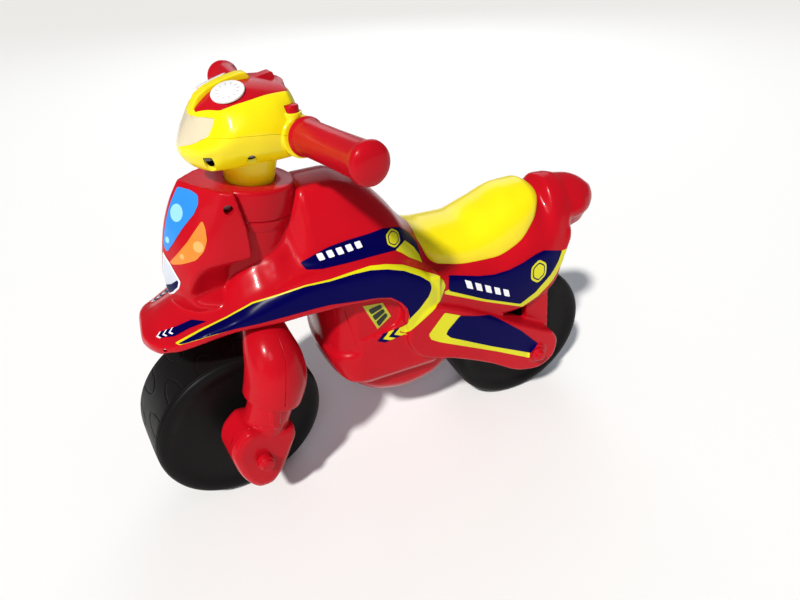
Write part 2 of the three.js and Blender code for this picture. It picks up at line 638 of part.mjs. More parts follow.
function neck() {
  const seam = COLLAR_TOP - SEAM_DROP;
  const edge = COLLAR_LIP / 3;
  const profile = [
    [0, NECK_FOOT], [COLLAR_R - NECK_TAPER, NECK_FOOT], [COLLAR_R - NECK_TAPER / 3, seam - SEAM_DEPTH],
    [COLLAR_R - SEAM_DEPTH, seam], [COLLAR_R, seam + SEAM_DEPTH], [COLLAR_R, COLLAR_TOP - COLLAR_LIP],
    [COLLAR_R - edge, COLLAR_TOP - edge], [COLLAR_R - COLLAR_LIP, COLLAR_TOP], [0, COLLAR_TOP],
  ];
  return solid(toFront(aboutAxis(profile, ROUND)));
}

function cowl() {
  const lid = [[0, COLLAR_TOP], [WHEELBASE, COLLAR_TOP], [WHEELBASE, WHEELBASE], [0, WHEELBASE]];
  return solid(toFront(upZ(COWL))).subtract(solid(toFront(aboutAxis(lid, ROUND))));
}

function rearArms() {
  const plate = bothSides(prism(ARM, ARM_INNER_Y, ARM_OUTER_Y, ARM_BEVEL));
  const bossEnd = acrossFrom(REAR_AXLE, ARM_OUTER_Y + ARM_BOSS_PROUD);
  const boss = rod(acrossFrom(REAR_AXLE, ARM_INNER_Y), bossEnd, ARM_BOSS_R, ROUND);
  const strut = bothSides(prism(STRUT, ARM_INNER_Y, STRUT_OUTER_Y));
  return plate.add(bothSides(boss)).add(strut);
}

function bodyWells() {
  const wheelEnd = (side) => acrossFrom(REAR_AXLE, side * REAR_WELL_HALF);
  const rear = solid(rod(wheelEnd(-1), wheelEnd(1), REAR_WELL_R, WHEEL_SIDES));
  const front = solid(toFront(acrossX(FRONT_WELL)));
  const tank = solid(acrossX(TANK_WELL));
  const engine = solid(box(ENGINE_WELL_X, [-ENGINE_WELL_HALF, ENGINE_WELL_HALF], ENGINE_WELL_Z));
  const deck = solid(box(DECK_WELL_X, [-DECK_WELL_HALF, DECK_WELL_HALF], DECK_WELL_Z));
  return union([rear, front, tank, engine, deck]);
}

function cowlScrewHole() {
  const at = (y) => new THREE.Vector3(COWL_SCREW.x, y, COWL_SCREW.z);
  const well = solid(toFront(rod(COWL_SCREW, at(SCREW_WELL_OUT), SCREW_WELL_R)));
  const tip = at(COWL_SCREW.y - COWL_SCREW_LENGTH - FIT);
  return well.add(solid(toFront(rod(tip, at(SCREW_WELL_OUT), SCREW_SHAFT_R + FIT))));
}

function bodyBores() {
  const stemR = STEM_R + RUN;
  const stemFoot = STEM_FOOT - RUN;
  const room = [[0, stemFoot], [stemR, stemFoot], [stemR, WHEELBASE], [0, WHEELBASE]];
  const stem = solid(toFront(aboutAxis(room, ROUND)));
  const steerer = solid(toFront(rod(onAxis(STEERER_FOOT), onAxis(COLLAR_TOP), STEERER_R + RUN, ROUND)));
  const capEnd = (side) => acrossFrom(REAR_AXLE, side * REAR_CAP_Y);
  const axleBore = solid(rod(capEnd(-1), capEnd(1), AXLE_R + FIT));
  return union([stem, steerer, axleBore, cowlScrewHole()]);
}

function bodySolid() {
  const shell = union([
    solid(acrossX(BODY)), cowl(), neck(), solid(upZ(ENGINE)), solid(acrossX(BELLY)), rearArms(),
  ]);
  return shell.subtract(archCut()).subtract(bodyWells()).subtract(bodyBores()).subtract(seatRoom());
}

const body = bodySolid();
const farSide = (y0, y1) => solid(box([-REACH, REACH], [y0, y1], [-REACH, REACH]));
putSolid('body_left', body.subtract(farSide(-REACH, SPLIT)), RED);
putSolid('body_right', body.subtract(farSide(-SPLIT, REACH)), RED);
put('seat', seatGeometry(), YELLOW);

// Screws

function screwGeometry(head, towards, length) {
  const profile = [
    [0, -SCREW_HEAD_H], [SCREW_HEAD_R, -SCREW_HEAD_H], [SCREW_HEAD_R, -FIT], [SCREW_SHAFT_R, -FIT],
    [SCREW_SHAFT_R, length - SCREW_TIP], [0, length],
  ];
  return turnedAlong(head, towards, profile, SMALL_ROUND);
}

const cowlScrewInward = new THREE.Vector3(COWL_SCREW.x, 0, COWL_SCREW.z);
const cowlScrewHead = COWL_SCREW.clone().setY(COWL_SCREW.y + FIT);
put('cowl_screw', toFront(screwGeometry(cowlScrewHead, cowlScrewInward, COWL_SCREW_LENGTH)), STEEL);

// Handlebar head

function headRow([x, ...half], inset, shift) {
  const top = half[0][1];
  const keel = half[half.length - 1][1];
  const middle = (top + keel) / 2;
  const widest = Math.max(...half.map(([y]) => y));
  const narrow = Math.max(1 - inset / widest, LEAST_SHARE);
  const flat = Math.max(1 - (2 * inset) / (top - keel), LEAST_SHARE);
  return [x + shift, ...half.map(([y, z]) => [y * narrow, middle + (z - middle) * flat])];
}

function headSolid(inset) {
  const last = HEAD.length - 1;
  return solid(acrossX(HEAD.map((row, i) => headRow(row, inset, i === 0 ? -inset : i === last ? inset : 0))));
}

function aboveParting(rise) {
  const line = PARTING.map(([x, z]) => [x, z + rise]);
  const [front] = line;
  const rear = line[line.length - 1];
  return solid(prism([...line, [rear[0], REACH], [front[0], REACH]], -REACH, REACH));
}

function lensRegion(gap) {
  const centre = [LENS_MIDDLE_X, LENS_MIDDLE_Z];
  const grown = LENS.map((p) => p.map((v, i) => v + gap * Math.sign(v - centre[i])));
  return solid(prism(grown, -REACH, REACH));
}

const outside = headSolid(0);
const inside = headSolid(HEAD_WALL);
const skin = outside.subtract(inside);
const lensSide = lensRegion(0);
const aroundLens = lensRegion(FIT);

// Screw posts run from the floor of the head to its top and are shared out at the parting line

function headScrewSpots() {
  return HEAD_SCREWS.flatMap(([x, y, length]) => SIDES.map(([side]) => ({ x, y: side * y, length })));
}

function headPosts(gap) {
  return union(headScrewSpots().map(({ x, y, length }) => {
    const topZ = HEAD_SCREW_Z + length + HEAD_SCREW_BACKING + gap;
    const foot = new THREE.Vector3(x, y, 0);
    return solid(rod(foot, foot.clone().setZ(topZ), SCREW_WELL_R + POST_WALL + gap));
  }));
}

function headScrewHoles() {
  return union(headScrewSpots().map(({ x, y, length }) => {
    const at = (z) => new THREE.Vector3(x, y, z);
    const well = solid(rod(at(0), at(HEAD_SCREW_Z), SCREW_WELL_R));
    return well.add(solid(rod(at(0), at(HEAD_SCREW_Z + length + FIT), SCREW_SHAFT_R + FIT)));
  }));
}

const posts = headPosts(0).intersect(outside);
const screwHoles = headScrewHoles();

// Grips and bar

function gripGeometry() {
  const length = GRIP_IN.distanceTo(GRIP_OUT);
  const end = length + GRIP_END;
  const bore = BAR_R + FIT;
  const boreEnd = length - BAR_END + FIT;
  return turnedAlong(GRIP_IN, GRIP_OUT, [
    [bore, 0], [GRIP_FLANGE_R - GRIP_FLANGE_EDGE, 0], [GRIP_FLANGE_R, GRIP_FLANGE_EDGE],
    [GRIP_FLANGE_R, GRIP_FLANGE - GRIP_FLANGE_EDGE], [GRIP_TUBE_R, GRIP_FLANGE],
    [GRIP_TUBE_R, length - GRIP_FLANGE], [GRIP_FLANGE_R, length - GRIP_FLANGE / 2], [GRIP_FLANGE_R, length],
    [GRIP_FLANGE_R - GRIP_END_EDGE, end - GRIP_END_EDGE], [GRIP_FLANGE_R / 2, end - GRIP_FLANGE_EDGE / 3],
    [0, end], [0, boreEnd], [bore, boreEnd], [bore, 0],
  ], ROUND);
}

function barSolid(gap) {
  const reach = GRIP_OUT.clone().sub(GRIP_IN).normalize();
  const end = GRIP_OUT.clone().addScaledVector(reach, -BAR_END);
  const left = [end, GRIP_IN.clone(), BAR_MIDDLE.clone().lerp(GRIP_IN, 0.5)];
  const right = left.map((p) => new THREE.Vector3(p.x, -p.y, p.z)).reverse();
  return solid(sweep([...left, BAR_MIDDLE, ...right].map((p) => [p, BAR_R + gap]), SMALL_ROUND));
}

function gripCollars() {
  const outward = GRIP_OUT.clone().sub(GRIP_IN).normalize();
  const end = GRIP_IN.clone().addScaledVector(outward, -FIT);
  const start = end.clone().addScaledVector(outward, -GRIP_COLLAR_LENGTH);
  return bothSides(rod(start, end, GRIP_COLLAR_R, ROUND).translate(GRIP_COLLAR_FORWARD, 0, 0));
}

function gripRooms() {
  const outward = GRIP_OUT.clone().sub(GRIP_IN).normalize();
  const start = GRIP_IN.clone().addScaledVector(outward, -FIT);
  return bothSides(rod(start, GRIP_OUT, GRIP_FLANGE_R + FIT, ROUND));
}

const collars = gripCollars();
const gripRoom = gripRooms();
const barRoom = barSolid(FIT);

putSteered('grip_left', gripGeometry(), RED);
putSteered('grip_right', toGeometry(solid(flipY(gripGeometry()))), RED);
putSteered('handlebar_tube', toGeometry(barSolid(0)), STEEL);

// Buttons and their springs

const buttonSpot = (side, z) => new THREE.Vector3(BUTTON_X, side * BUTTON_Y, z);
const buttonRod = (side, low, high, r) => rod(buttonSpot(side, low), buttonSpot(side, high), r, ROUND);
const buttonFoot = BUTTON_TOP - BUTTON_SKIRT;
const pocketFloor = buttonFoot - BUTTON_POCKET;

function buttonBosses() {
  const r = BUTTON_R + RUN + BUTTON_BOSS_WALL;
  return union(SIDES.map(([side]) => solid(buttonRod(side, BUTTON_BOSS_FOOT, BUTTON_BOSS_TOP, r))));
}

function buttonPockets() {
  return union(SIDES.map(([side]) => solid(buttonRod(side, pocketFloor, BUTTON_TOP, BUTTON_R + RUN))));
}

function buttonGeometry(side) {
  return turnedAlong(buttonSpot(side, buttonFoot), buttonSpot(side, BUTTON_TOP), [
    [0, 0], [BUTTON_R, 0], [BUTTON_R, BUTTON_SKIRT - BUTTON_CROWN], [BUTTON_R - BUTTON_CROWN, BUTTON_SKIRT],
    [0, BUTTON_SKIRT],
  ], ROUND);
}

function springGeometry(side) {
  const low = pocketFloor + FIT + SPRING_WIRE;
  const rise = buttonFoot - FIT - SPRING_WIRE - low;
  const centres = Array.from({ length: SPRING_STEPS + 1 }, (_, k) => {
    const share = k / SPRING_STEPS;
    const turn = share * SPRING_TURNS * 2 * Math.PI;
    const spot = buttonSpot(side, low + rise * share);
    return spot.add(new THREE.Vector3(SPRING_R * Math.cos(turn), SPRING_R * Math.sin(turn), 0));
  });
  const path = new THREE.CatmullRomCurve3(centres);
  const wire = new THREE.Shape().absarc(0, 0, SPRING_WIRE, 0, 2 * Math.PI);
  return new THREE.ExtrudeGeometry(wire, { steps: SPRING_STEPS, curveSegments: 3, extrudePath: path });
}

for (const [side, word] of SIDES) {
  putSteered(`button_${word}`, buttonGeometry(side), RED);
  putSteered(`button_spring_${word}`, springGeometry(side), STEEL);
}

// Dash panel and dials

const DASH_SHARES = [0, 0.35, 0.7, 1];

function dashRings(gap) {
  return DASH.map(([x, w, centreZ, edgeZ], i) => {
    const end = i === 0 ? gap : i === DASH.length - 1 ? -gap : 0;
    const half = w + gap;
    const drop = DASH_DEPTH + gap;
    const fall = (k) => (edgeZ - centreZ) * k ** DASH_CROWN_SHARE;
    const over = DASH_SHARES.map((k) => [half * k, centreZ + fall(k) + gap]);
    return [x + end, ...over, [half, edgeZ - drop], [0, edgeZ - drop]];
  });
}

const dashRoom = solid(acrossX(dashRings(FIT)));
const spine = solid(prism(SPINE, -SPINE_HALF, SPINE_HALF, SPINE_BEVEL));
const spineRoom = solid(prism(SPINE, -SPINE_HALF - FIT, SPINE_HALF + FIT));
const hump = solid(prism(HUMP, -SPINE_HALF, SPINE_HALF, SPINE_BEVEL));

function dialDisc(side, r, sunk, thick) {
  const up = new THREE.Vector3(DIAL_TILT.x, side * DIAL_TILT.y, DIAL_TILT.z);
  const centre = new THREE.Vector3(DIAL_CENTRE.x, side * DIAL_CENTRE.y, DIAL_CENTRE.z);
  const foot = centre.clone().addScaledVector(up, -sunk);
  return rod(foot, foot.clone().addScaledVector(up, thick), r, ROUND);
}

function dashSolid() {
  const pocket = (side) => solid(dialDisc(side, DIAL_R + FIT, DIAL_THICK + FIT, DIAL_POCKET));
  return solid(acrossX(dashRings(0))).subtract(spineRoom).add(hump).subtract(pocket(1)).subtract(pocket(-1));
}

putSteered('dash_panel', toGeometry(dashSolid()), RED);
for (const [side, word] of SIDES) {
  putSteered(`dial_${word}`, dialDisc(side, DIAL_R, DIAL_THICK, DIAL_THICK), WHITE);
}

// Upper and lower shells and the lens

function stemSolid() {
  const foot = [[0, STEM_FOOT], [STEM_FOOT_R, STEM_FOOT], [STEM_R, COLLAR_TOP]];
  const cone = solid(aboutAxis([...foot, [STEM_TOP_R, STEM_TOP], [0, STEM_TOP]], ROUND)).subtract(inside);
  return cone.add(solid(rod(onAxis(STEERER_TOP), onAxis(STEM_TOP), BOLT_BOSS_R, ROUND)));
}

function stemBores() {
  const web = STEERER_TOP + FIT;
  const r = STEERER_R + FIT;
  const socket = solid(aboutAxis([[0, 0], [r, 0], [r, web], [0, web]], ROUND));
  const bolt = solid(rod(onAxis(STEERER_TOP), onAxis(STEM_TOP), BOLT_R + FIT));
  const head = solid(rod(onAxis(web + STEM_WEB), onAxis(STEM_TOP), BOLT_HEAD_R + RUN, ROUND));
  return union([socket, bolt, head]);
}

function upperShell() {
  const walls = union([skin, collars, buttonBosses(), posts, spine.subtract(inside)]);
  const rooms = union([dashRoom.subtract(spine), aroundLens, buttonPockets(), gripRoom, barRoom, screwHoles]);
  return walls.subtract(rooms).intersect(aboveParting(SPLIT));
}

function trayPad() {
  const top = TRAY_Z[0] - FIT;
  return solid(box(TRAY_X, [-TRAY_HALF, TRAY_HALF], [top - TRAY_PAD, top])).intersect(outside);
}

function lowerShell() {
  const walls = union([skin, collars, posts]).subtract(aboveParting(-SPLIT)).add(stemSolid()).add(trayPad());
  return walls.subtract(union([aroundLens, barRoom, screwHoles, stemBores()]));
}

function lens() {
  return skin.add(posts).intersect(lensSide).subtract(screwHoles);
}

putSteered('head_upper_shell', toGeometry(upperShell()), YELLOW);
putSteered('head_lower_shell', toGeometry(lowerShell()), YELLOW);
putSteered('headlight_lens', toGeometry(lens()), CLEAR);

// Electrics

const [, [panelTopX, panelTopZ], [panelFootX, panelFootZ]] = REFLECTOR;
const LED_SPOT = new THREE.Vector3((panelTopX + panelFootX) / 2, 0, (panelTopZ + panelFootZ) / 2);
const LED_AIM = new THREE.Vector3(panelTopZ - panelFootZ, 0, panelFootX - panelTopX).normalize();

function ledGeometry(side, gap) {
  const middle = LED_SPOT.clone().setY(side * LED_Y);
  const back = middle.clone().addScaledVector(LED_AIM, -LED_LENGTH / 2 - gap);
  const tip = middle.clone().addScaledVector(LED_AIM, LED_LENGTH / 2 + gap);
  return rod(back, tip, LED_R + gap);
}

function reflectorSolid() {
  const band = solid(prism(REFLECTOR, -REACH, REACH)).intersect(headSolid(HEAD_WALL + FIT));
  const holes = union(SIDES.map(([side]) => solid(ledGeometry(side, FIT))));
  return band.subtract(headPosts(FIT)).subtract(dashRoom).subtract(holes);
}

const trayInside = ([low, high]) => [low + TRAY_WALL, high - TRAY_WALL];
const trayFloor = TRAY_Z[0] + TRAY_WALL;

function traySolid() {
  const width = [-TRAY_HALF, TRAY_HALF];
  const room = box(trayInside(TRAY_X), trayInside(width), [trayFloor, REACH]);
  return solid(box(TRAY_X, width, TRAY_Z)).subtract(solid(room));
}

function cellGeometry(number) {
  const x = (TRAY_X[0] + TRAY_X[1]) / 2 + (number - (CELLS - 1) / 2) * CELL_PITCH;
  const z = trayFloor + FIT + CELL_R;
  const way = number % 2 ? 1 : -1;
  const at = (y) => new THREE.Vector3(x, way * y, z);
  return turnedAlong(at(-CELL_HALF), at(CELL_HALF), [
    [0, 0], [CELL_R, 0], [CELL_R, 2 * CELL_HALF], [CELL_TIP_R, 2 * CELL_HALF],
    [CELL_TIP_R, 2 * CELL_HALF + CELL_TIP], [0, 2 * CELL_HALF + CELL_TIP],
  ], SMALL_ROUND);
}

const boardZ = [TRAY_Z[1] + FIT, TRAY_Z[1] + FIT + BOARD_THICK];
const speakerFoot = new THREE.Vector3((TRAY_X[0] + TRAY_X[1]) / 2, 0, boardZ[1] + FIT);
const speakerTop = speakerFoot.clone().setZ(speakerFoot.z + SPEAKER_H);
const boltFoot = onAxis(STEERER_TOP + FIT + STEM_WEB + FIT);

putSteered('reflector', toGeometry(reflectorSolid()), CHROME);
for (const [side, word] of SIDES) putSteered(`led_${word}`, ledGeometry(side, 0), WHITE);
putSteered('battery_tray', toGeometry(traySolid()), BLACK);
for (let number = 0; number < CELLS; number += 1) {
  putSteered(`battery_cell_${number + 1}`, cellGeometry(number), BLUE);
}
putSteered('circuit_board', box(TRAY_X, [-TRAY_HALF, TRAY_HALF], boardZ), GREEN);
putSteered('speaker', rod(speakerFoot, speakerTop, SPEAKER_R, ROUND), BLACK);

// Bolt and screws of the head

function boltGeometry() {
  return turnedAlong(boltFoot, AXIS_FOOT, [
    [0, -BOLT_HEAD_H], [BOLT_HEAD_R, -BOLT_HEAD_H], [BOLT_HEAD_R, 0], [BOLT_R, 0],
    [BOLT_R, BOLT_LENGTH], [0, BOLT_LENGTH],
  ], SMALL_ROUND);
}

putSteered('steering_bolt', boltGeometry(), STEEL);
headScrewSpots().forEach(({ x, y, length }, number) => {
  const seat = new THREE.Vector3(x, y, HEAD_SCREW_Z - FIT);
  const up = new THREE.Vector3(x, y, REACH);
  putSteered(`head_screw_${number + 1}`, screwGeometry(seat, up, length), STEEL);
});

export default model;
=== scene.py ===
import math

import bpy
import numpy as np
from mathutils import Matrix, Vector
from mathutils.bvhtree import BVHTree
from mathutils.geometry import delaunay_2d_cdt


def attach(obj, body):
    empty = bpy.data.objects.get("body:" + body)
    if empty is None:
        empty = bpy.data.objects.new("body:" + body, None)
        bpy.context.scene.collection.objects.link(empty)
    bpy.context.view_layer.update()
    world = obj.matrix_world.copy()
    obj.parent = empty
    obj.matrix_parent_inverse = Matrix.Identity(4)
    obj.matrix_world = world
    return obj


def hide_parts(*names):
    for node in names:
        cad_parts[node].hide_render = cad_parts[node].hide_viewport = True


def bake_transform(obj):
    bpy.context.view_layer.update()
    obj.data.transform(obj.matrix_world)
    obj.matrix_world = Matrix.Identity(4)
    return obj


# The looks of a ride-on toy motorcycle. Tables and sizes are in millimetres in the row frame:
# +X forward, +Y the rider's left, +Z up, origin under the rear wheel. Meshes are made in metres.

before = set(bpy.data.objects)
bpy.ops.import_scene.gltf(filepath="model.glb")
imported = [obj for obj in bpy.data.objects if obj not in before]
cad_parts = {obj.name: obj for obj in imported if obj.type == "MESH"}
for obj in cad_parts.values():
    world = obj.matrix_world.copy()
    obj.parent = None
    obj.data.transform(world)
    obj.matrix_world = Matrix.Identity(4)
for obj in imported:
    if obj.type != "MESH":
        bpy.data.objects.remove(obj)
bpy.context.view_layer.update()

MM = 0.001
SIDES = ((1, "left"), (-1, "right"))

# Driving sizes, shared with the solids
WHEEL_R = 110
WHEELBASE = 431
FRONT_WHEEL_LIFT = 0.5
AXIS_FOOT = Vector((396.6, 0, 110.4))
RAKE = math.radians(8.5)
STEER = math.radians(9.4)
AXIS = Vector((-math.sin(RAKE), 0, math.cos(RAKE)))
FIT = 0.3
RUN = 0.6
AXLE_R = 5
BIG = 900

# Loft step and points round each ring
BODY_GRAIN = (3, 120)
COWL_GRAIN = (2.5, 96)
ENGINE_GRAIN = (3, 90)
BELLY_GRAIN = (3, 80)
WELL_GRAIN = (6, 60)
HEAD_GRAIN = (1.6, 120)
FORK_GRAIN = (3, 72)
SHIN_GRAIN = (3, 64)
GROOVE_GRAIN = (4, 16)
FORK_GROOVE_GRAIN = (3, 12)
SEAT_STEP = 2.5
SEAT_POINTS = 49
DASH_STEP = 1.5
DASH_POINTS = 13
ARM_POINTS = 90
ARCH_POINTS = 60
SHOE_POINTS = 80
WHEEL_SIDES = 720
ROUND_SIDES = 96
ROD_SIDES = 64
BUTTON_SIDES = 48
SCREW_SIDES = 40
SMALL_SIDES = 32
LARGE_SIDES = 128

# Remesh size and smoothing rounds of each moulding
BODY_SKIN = (1.5, 7)
SEAT_SKIN = (1.3, 4)
FORK_SKIN = (1.3, 4)
HEAD_SKIN = (0.9, 3)
DASH_SKIN = (0.8, 2)
SMOOTH_SHARE = 0.5

# Angles in degrees beyond which an edge stays crisp
EDGE_ANGLE = 40
FORK_ANGLE = 45
TURNED_ANGLE = 50

# Body, ridge to keel on the left side as (y, z) at each x
BODY = (
    (508, ((0, 268), (10, 268), (17, 267.5), (21, 266.5), (24, 265), (25, 263), (25, 260), (24, 258),
           (21, 256), (0, 255))),
    (505.5, ((0, 273), (12, 273), (20, 272.5), (25, 271.5), (29, 269.5), (31, 267), (31, 261), (30, 257),
             (27, 254), (0, 253))),
    (501, ((0, 275), (13, 274.5), (24, 273.5), (32, 272), (38, 270.5), (41, 268), (41, 262), (39, 257),
           (35, 253), (0, 252))),
    (492, ((0, 278), (15, 277), (28, 274), (38, 271.5), (46, 270), (51, 268), (53, 263), (52, 258),
           (49, 254), (0, 253))),
    (482, ((0, 283), (16, 281), (31, 277), (42, 274), (51, 272), (58, 270), (62, 267), (61.5, 262),
           (58, 259), (0, 258))),
    (471, ((0, 287), (17, 285), (32, 281), (44, 278), (54, 275.5), (63, 273), (68.5, 270), (69, 265),
           (66, 262), (0, 261))),
    (440, ((0, 297), (21, 295), (36, 292), (49, 289), (61, 286), (71, 284), (78, 281), (79, 275),
           (75, 271), (0, 270))),
    (410, ((0, 308), (25, 308), (40, 306), (54, 301), (64, 296), (73, 291), (80, 286), (81, 279),
           (77, 275), (0, 274))),
    (388, ((0, 330), (28, 330), (44, 329), (56, 318), (67, 308), (79, 300), (85, 292), (86, 281),
           (82, 277), (0, 276))),
    (366, ((0, 344), (28, 344), (46, 340), (57, 329), (69, 317), (82, 308), (88, 297), (89, 281),
           (84, 277), (0, 276))),
    (348, ((0, 353), (28, 352), (49, 344), (61, 330), (71, 319), (84, 314), (90, 301), (91, 282),
           (86, 278), (0, 277))),
    (325, ((0, 392), (26, 380), (46, 350), (58, 334), (68, 325), (85, 320), (91, 305), (92, 283),
           (87, 279), (0, 278))),
    (300, ((0, 412), (27, 408), (46, 380), (59, 352), (69, 328), (86, 322), (92, 305), (93, 283),
           (88, 279), (0, 278))),
    (265, ((0, 413), (29, 408), (48, 381), (61, 354), (71, 329), (87, 322), (93, 303), (93, 281),
           (88, 277), (0, 276))),
    (240, ((0, 405), (30, 399), (49, 376), (62, 352), (71, 328), (87, 321), (93, 300), (93, 279),
           (88, 275), (0, 274))),
    (218, ((0, 388), (29, 382), (48, 366), (61, 348), (71, 323), (87, 314), (93, 294), (92, 268),
           (88, 262), (0, 262))),
    (196, ((0, 364), (28, 359), (47, 348), (59, 331), (69, 310), (86, 301), (92, 280), (91, 232),
           (88, 205), (0, 205))),
    (176, ((0, 337), (27, 332), (46, 322), (57, 303), (67, 292), (84, 288), (91, 268), (89, 230),
           (86, 205), (0, 205))),
    (160, ((0, 322), (26, 318), (44, 305), (55, 286), (66, 280), (83, 274), (86, 258), (84, 228),
           (82, 200), (0, 200))),
    (140, ((0, 317), (26, 312), (44, 299), (56, 280), (65, 276), (75, 270), (79, 256), (80, 228),
           (79, 192), (0, 192))),
    (100, ((0, 313), (27, 308), (46, 294), (57, 272), (65, 267), (73, 261), (77, 248), (78, 222),
           (77, 188), (0, 188))),
    (60, ((0, 327), (27, 321), (46, 301), (57, 270), (64, 264), (71, 257), (75, 246), (76, 222),
          (75, 184), (0, 184))),
    (20, ((0, 342), (25, 336), (42, 316), (54, 279), (61, 272), (68, 263), (72, 250), (74, 224),
          (73, 184), (0, 184))),
    (-10, ((0, 343), (22, 337), (36, 320), (46, 302), (54, 286), (63, 269), (69, 253), (71, 230),
           (70, 190), (0, 190))),
    (-27, ((0, 331), (17, 328), (29, 319), (42, 305), (52, 288), (60, 270), (66, 252), (69, 230),
           (68, 198), (0, 198))),
    (-42, ((0, 347), (19, 343), (34, 330), (46, 309), (53, 290), (58, 272), (62, 252), (65, 228),
           (64, 208), (0, 208))),
    (-57, ((0, 347), (18, 343), (33, 329), (44, 309), (50, 291), (54, 276), (58, 262), (60, 252),
           (60, 246), (0, 246))),
    (-65, ((0, 345), (17, 341), (31, 328), (42, 308), (48, 293), (51, 283), (55, 274), (56, 264),
           (54, 257), (0, 257))),
    (-71, ((0, 343), (16, 339), (30, 326), (40, 307), (45, 295), (43, 287), (49, 275), (50, 266),
           (46, 260), (0, 259))),
    (-76, ((0, 342), (16, 338), (30, 325), (39, 306), (43, 296), (41, 288), (33, 281), (29, 271),
           (23, 263), (0, 262))),
    (-95, ((0, 338), (15, 335), (27, 324), (37, 308), (40, 298), (38, 290), (30, 284), (25, 274),
           (19, 264), (0, 262))),
    (-111, ((0, 331), (14, 328), (25, 318), (31, 306), (33, 298), (31, 291), (26, 285), (21, 276),
            (15, 266), (0, 264))),
    (-124, ((0, 321), (11, 320), (17, 315), (21, 308), (22, 301), (20, 294), (17, 288), (13, 281),
            (9, 275), (0, 273))),
)

# Headlight cowl, nose to rear edge as (x, y) at each z
COWL = (
    (284, ((462, 0), (456, 18), (446, 34), (433, 45), (417, 52), (403, 57), (400, 0))),
    (298, ((466, 0), (460, 18), (449, 35), (437, 47), (421, 53), (404, 57), (400, 0))),
    (312, ((467, 0), (460, 19), (449, 36), (441, 41), (426, 38), (404, 34), (385, 0))),
    (324, ((466.5, 0), (459, 19.5), (447, 37), (440, 44.5), (424, 41), (402, 36), (383, 0))),
    (338, ((464, 0), (456, 20), (444, 38), (433, 48.5), (420, 46), (400, 40), (380, 0))),
    (346, ((462.5, 0), (454.5, 20), (442.5, 38), (427, 50.5), (410, 52), (390, 48), (377, 0))),
    (353, ((461, 0), (453, 20), (441, 38), (424, 51.5), (404, 58), (372, 60), (372, 0))),
    (381, ((453, 0), (445, 19), (431, 37), (414, 50), (398, 56), (371, 58), (371, 0))),
    (410, ((440, 0), (431, 17), (416, 35), (402, 46), (390, 52), (374, 54), (374, 0))),
    (426, ((430, 0), (421, 14), (409, 29), (397, 40), (387, 47), (376, 50), (376, 0))),
    (446, ((414, 0), (410, 8), (403, 18), (395, 28), (386, 37), (378, 42), (378, 0))),
)

# Engine block, front to rear as (x, y) at each z
ENGINE = (
    (140, ((291, 0), (288, 32), (282, 55), (274, 68), (255, 76), (160, 76), (160, 0))),
    (152, ((299, 0), (296, 34), (290, 58), (282, 74), (262, 82), (158, 82), (158, 0))),
    (186, ((307, 0), (304, 34), (298, 58), (284, 74), (264, 80), (156, 84), (156, 0))),
    (196, ((304, 0), (301, 34), (293, 58), (272, 73), (262, 79), (156, 85), (156, 0))),
    (240, ((308, 0), (304, 34), (291, 58), (270, 73), (262, 77.5), (156, 86), (156, 0))),
    (282, ((313, 0), (308, 34), (292, 58), (272, 73), (262, 77.5), (156, 86), (156, 0))),
)

# Belly pan, keel to rim as (y, z) at each x
BELLY = (
    (278, ((0, 128), (26, 129), (46, 133), (55, 141), (57, 152), (0, 152))),
    (260, ((0, 106), (30, 108), (51, 117), (61, 131), (63, 152), (0, 152))),
    (232, ((0, 88), (32, 91), (54, 102), (65, 121), (67, 152), (0, 152))),
    (196, ((0, 80), (33, 84), (55, 96), (66, 115), (68, 152), (0, 152))),
    (160, ((0, 85), (32, 89), (54, 101), (65, 119), (67, 152), (0, 152))),
    (132, ((0, 101), (29, 105), (50, 114), (60, 130), (62, 152), (0, 152))),
)

# Rear arm, strut and arch recess, side outlines as (x, z)
ARM = (
    (170, 244), (140, 232), (60, 186), (-8, 147), (-30, 134), (-38, 116), (-36, 98), (-26, 84), (-8, 77),
    (20, 82), (75, 114), (135, 146), (190, 172), (205, 205),
)
ARM_Y = (52, 92)
ARM_BEVEL = 5
BEVEL_SHARES = ((0, 1), (0.3, 0.3), (1, 0))
BOSS_R = 15
BOSS_RISE = 3.5
STRUT = ((10, 200), (-28, 205), (-36, 128), (-4, 120), (4, 150))
STRUT_Y = (52, 66)
ARCH = (
    (300, 268), (282, 277), (241, 276), (226, 271), (212, 257), (207, 243), (210, 231), (219, 222),
    (236, 217), (262, 213), (300, 208),
)
ARCH_Y = (76, 120)

# Wells
REAR_WELL_R = 119
REAR_WELL_HALF = 52
FRONT_WELL = (
    (494, ((0, 266), (20, 266), (34, 263), (46, 259), (46, 200), (0, 200))),
    (470, ((0, 278), (26, 275), (42, 271), (62, 265), (62, 200), (0, 200))),
    (440, ((0, 290), (28, 288), (44, 284), (71, 274), (74, 200), (0, 200))),
    (420, ((0, 296), (34, 293), (52, 289), (76, 280), (77, 200), (0, 200))),
    (400, ((0, 300), (36, 296), (54, 290), (78, 284), (79, 200), (0, 200))),
    (340, ((0, 302), (40, 300), (60, 292), (83, 288), (84, 200), (0, 200))),
    (322, ((0, 302), (40, 300), (60, 292), (84, 288), (85, 200), (0, 200))),
)

# Small cuts in the skin
BEAK_NOTCH = ((486, 44, 262), (484, 76, 266))
BEAK_NOTCH_R = 2.4
COWL_SCREW_WELL = ((385, 38, 409), (385, 80, 409))
SCREW_WELL_R = 5.2
GROOVE_R = 1.1
ENGINE_GROOVES = (
    ((290, 60, 262), (283, 67, 225), (276, 71.5, 196)),
    ((278, 67, 262), (274, 71, 235), (270, 74.5, 207)),
    ((302, 45, 262), (300, 47, 230), (297, 50, 196)),
)

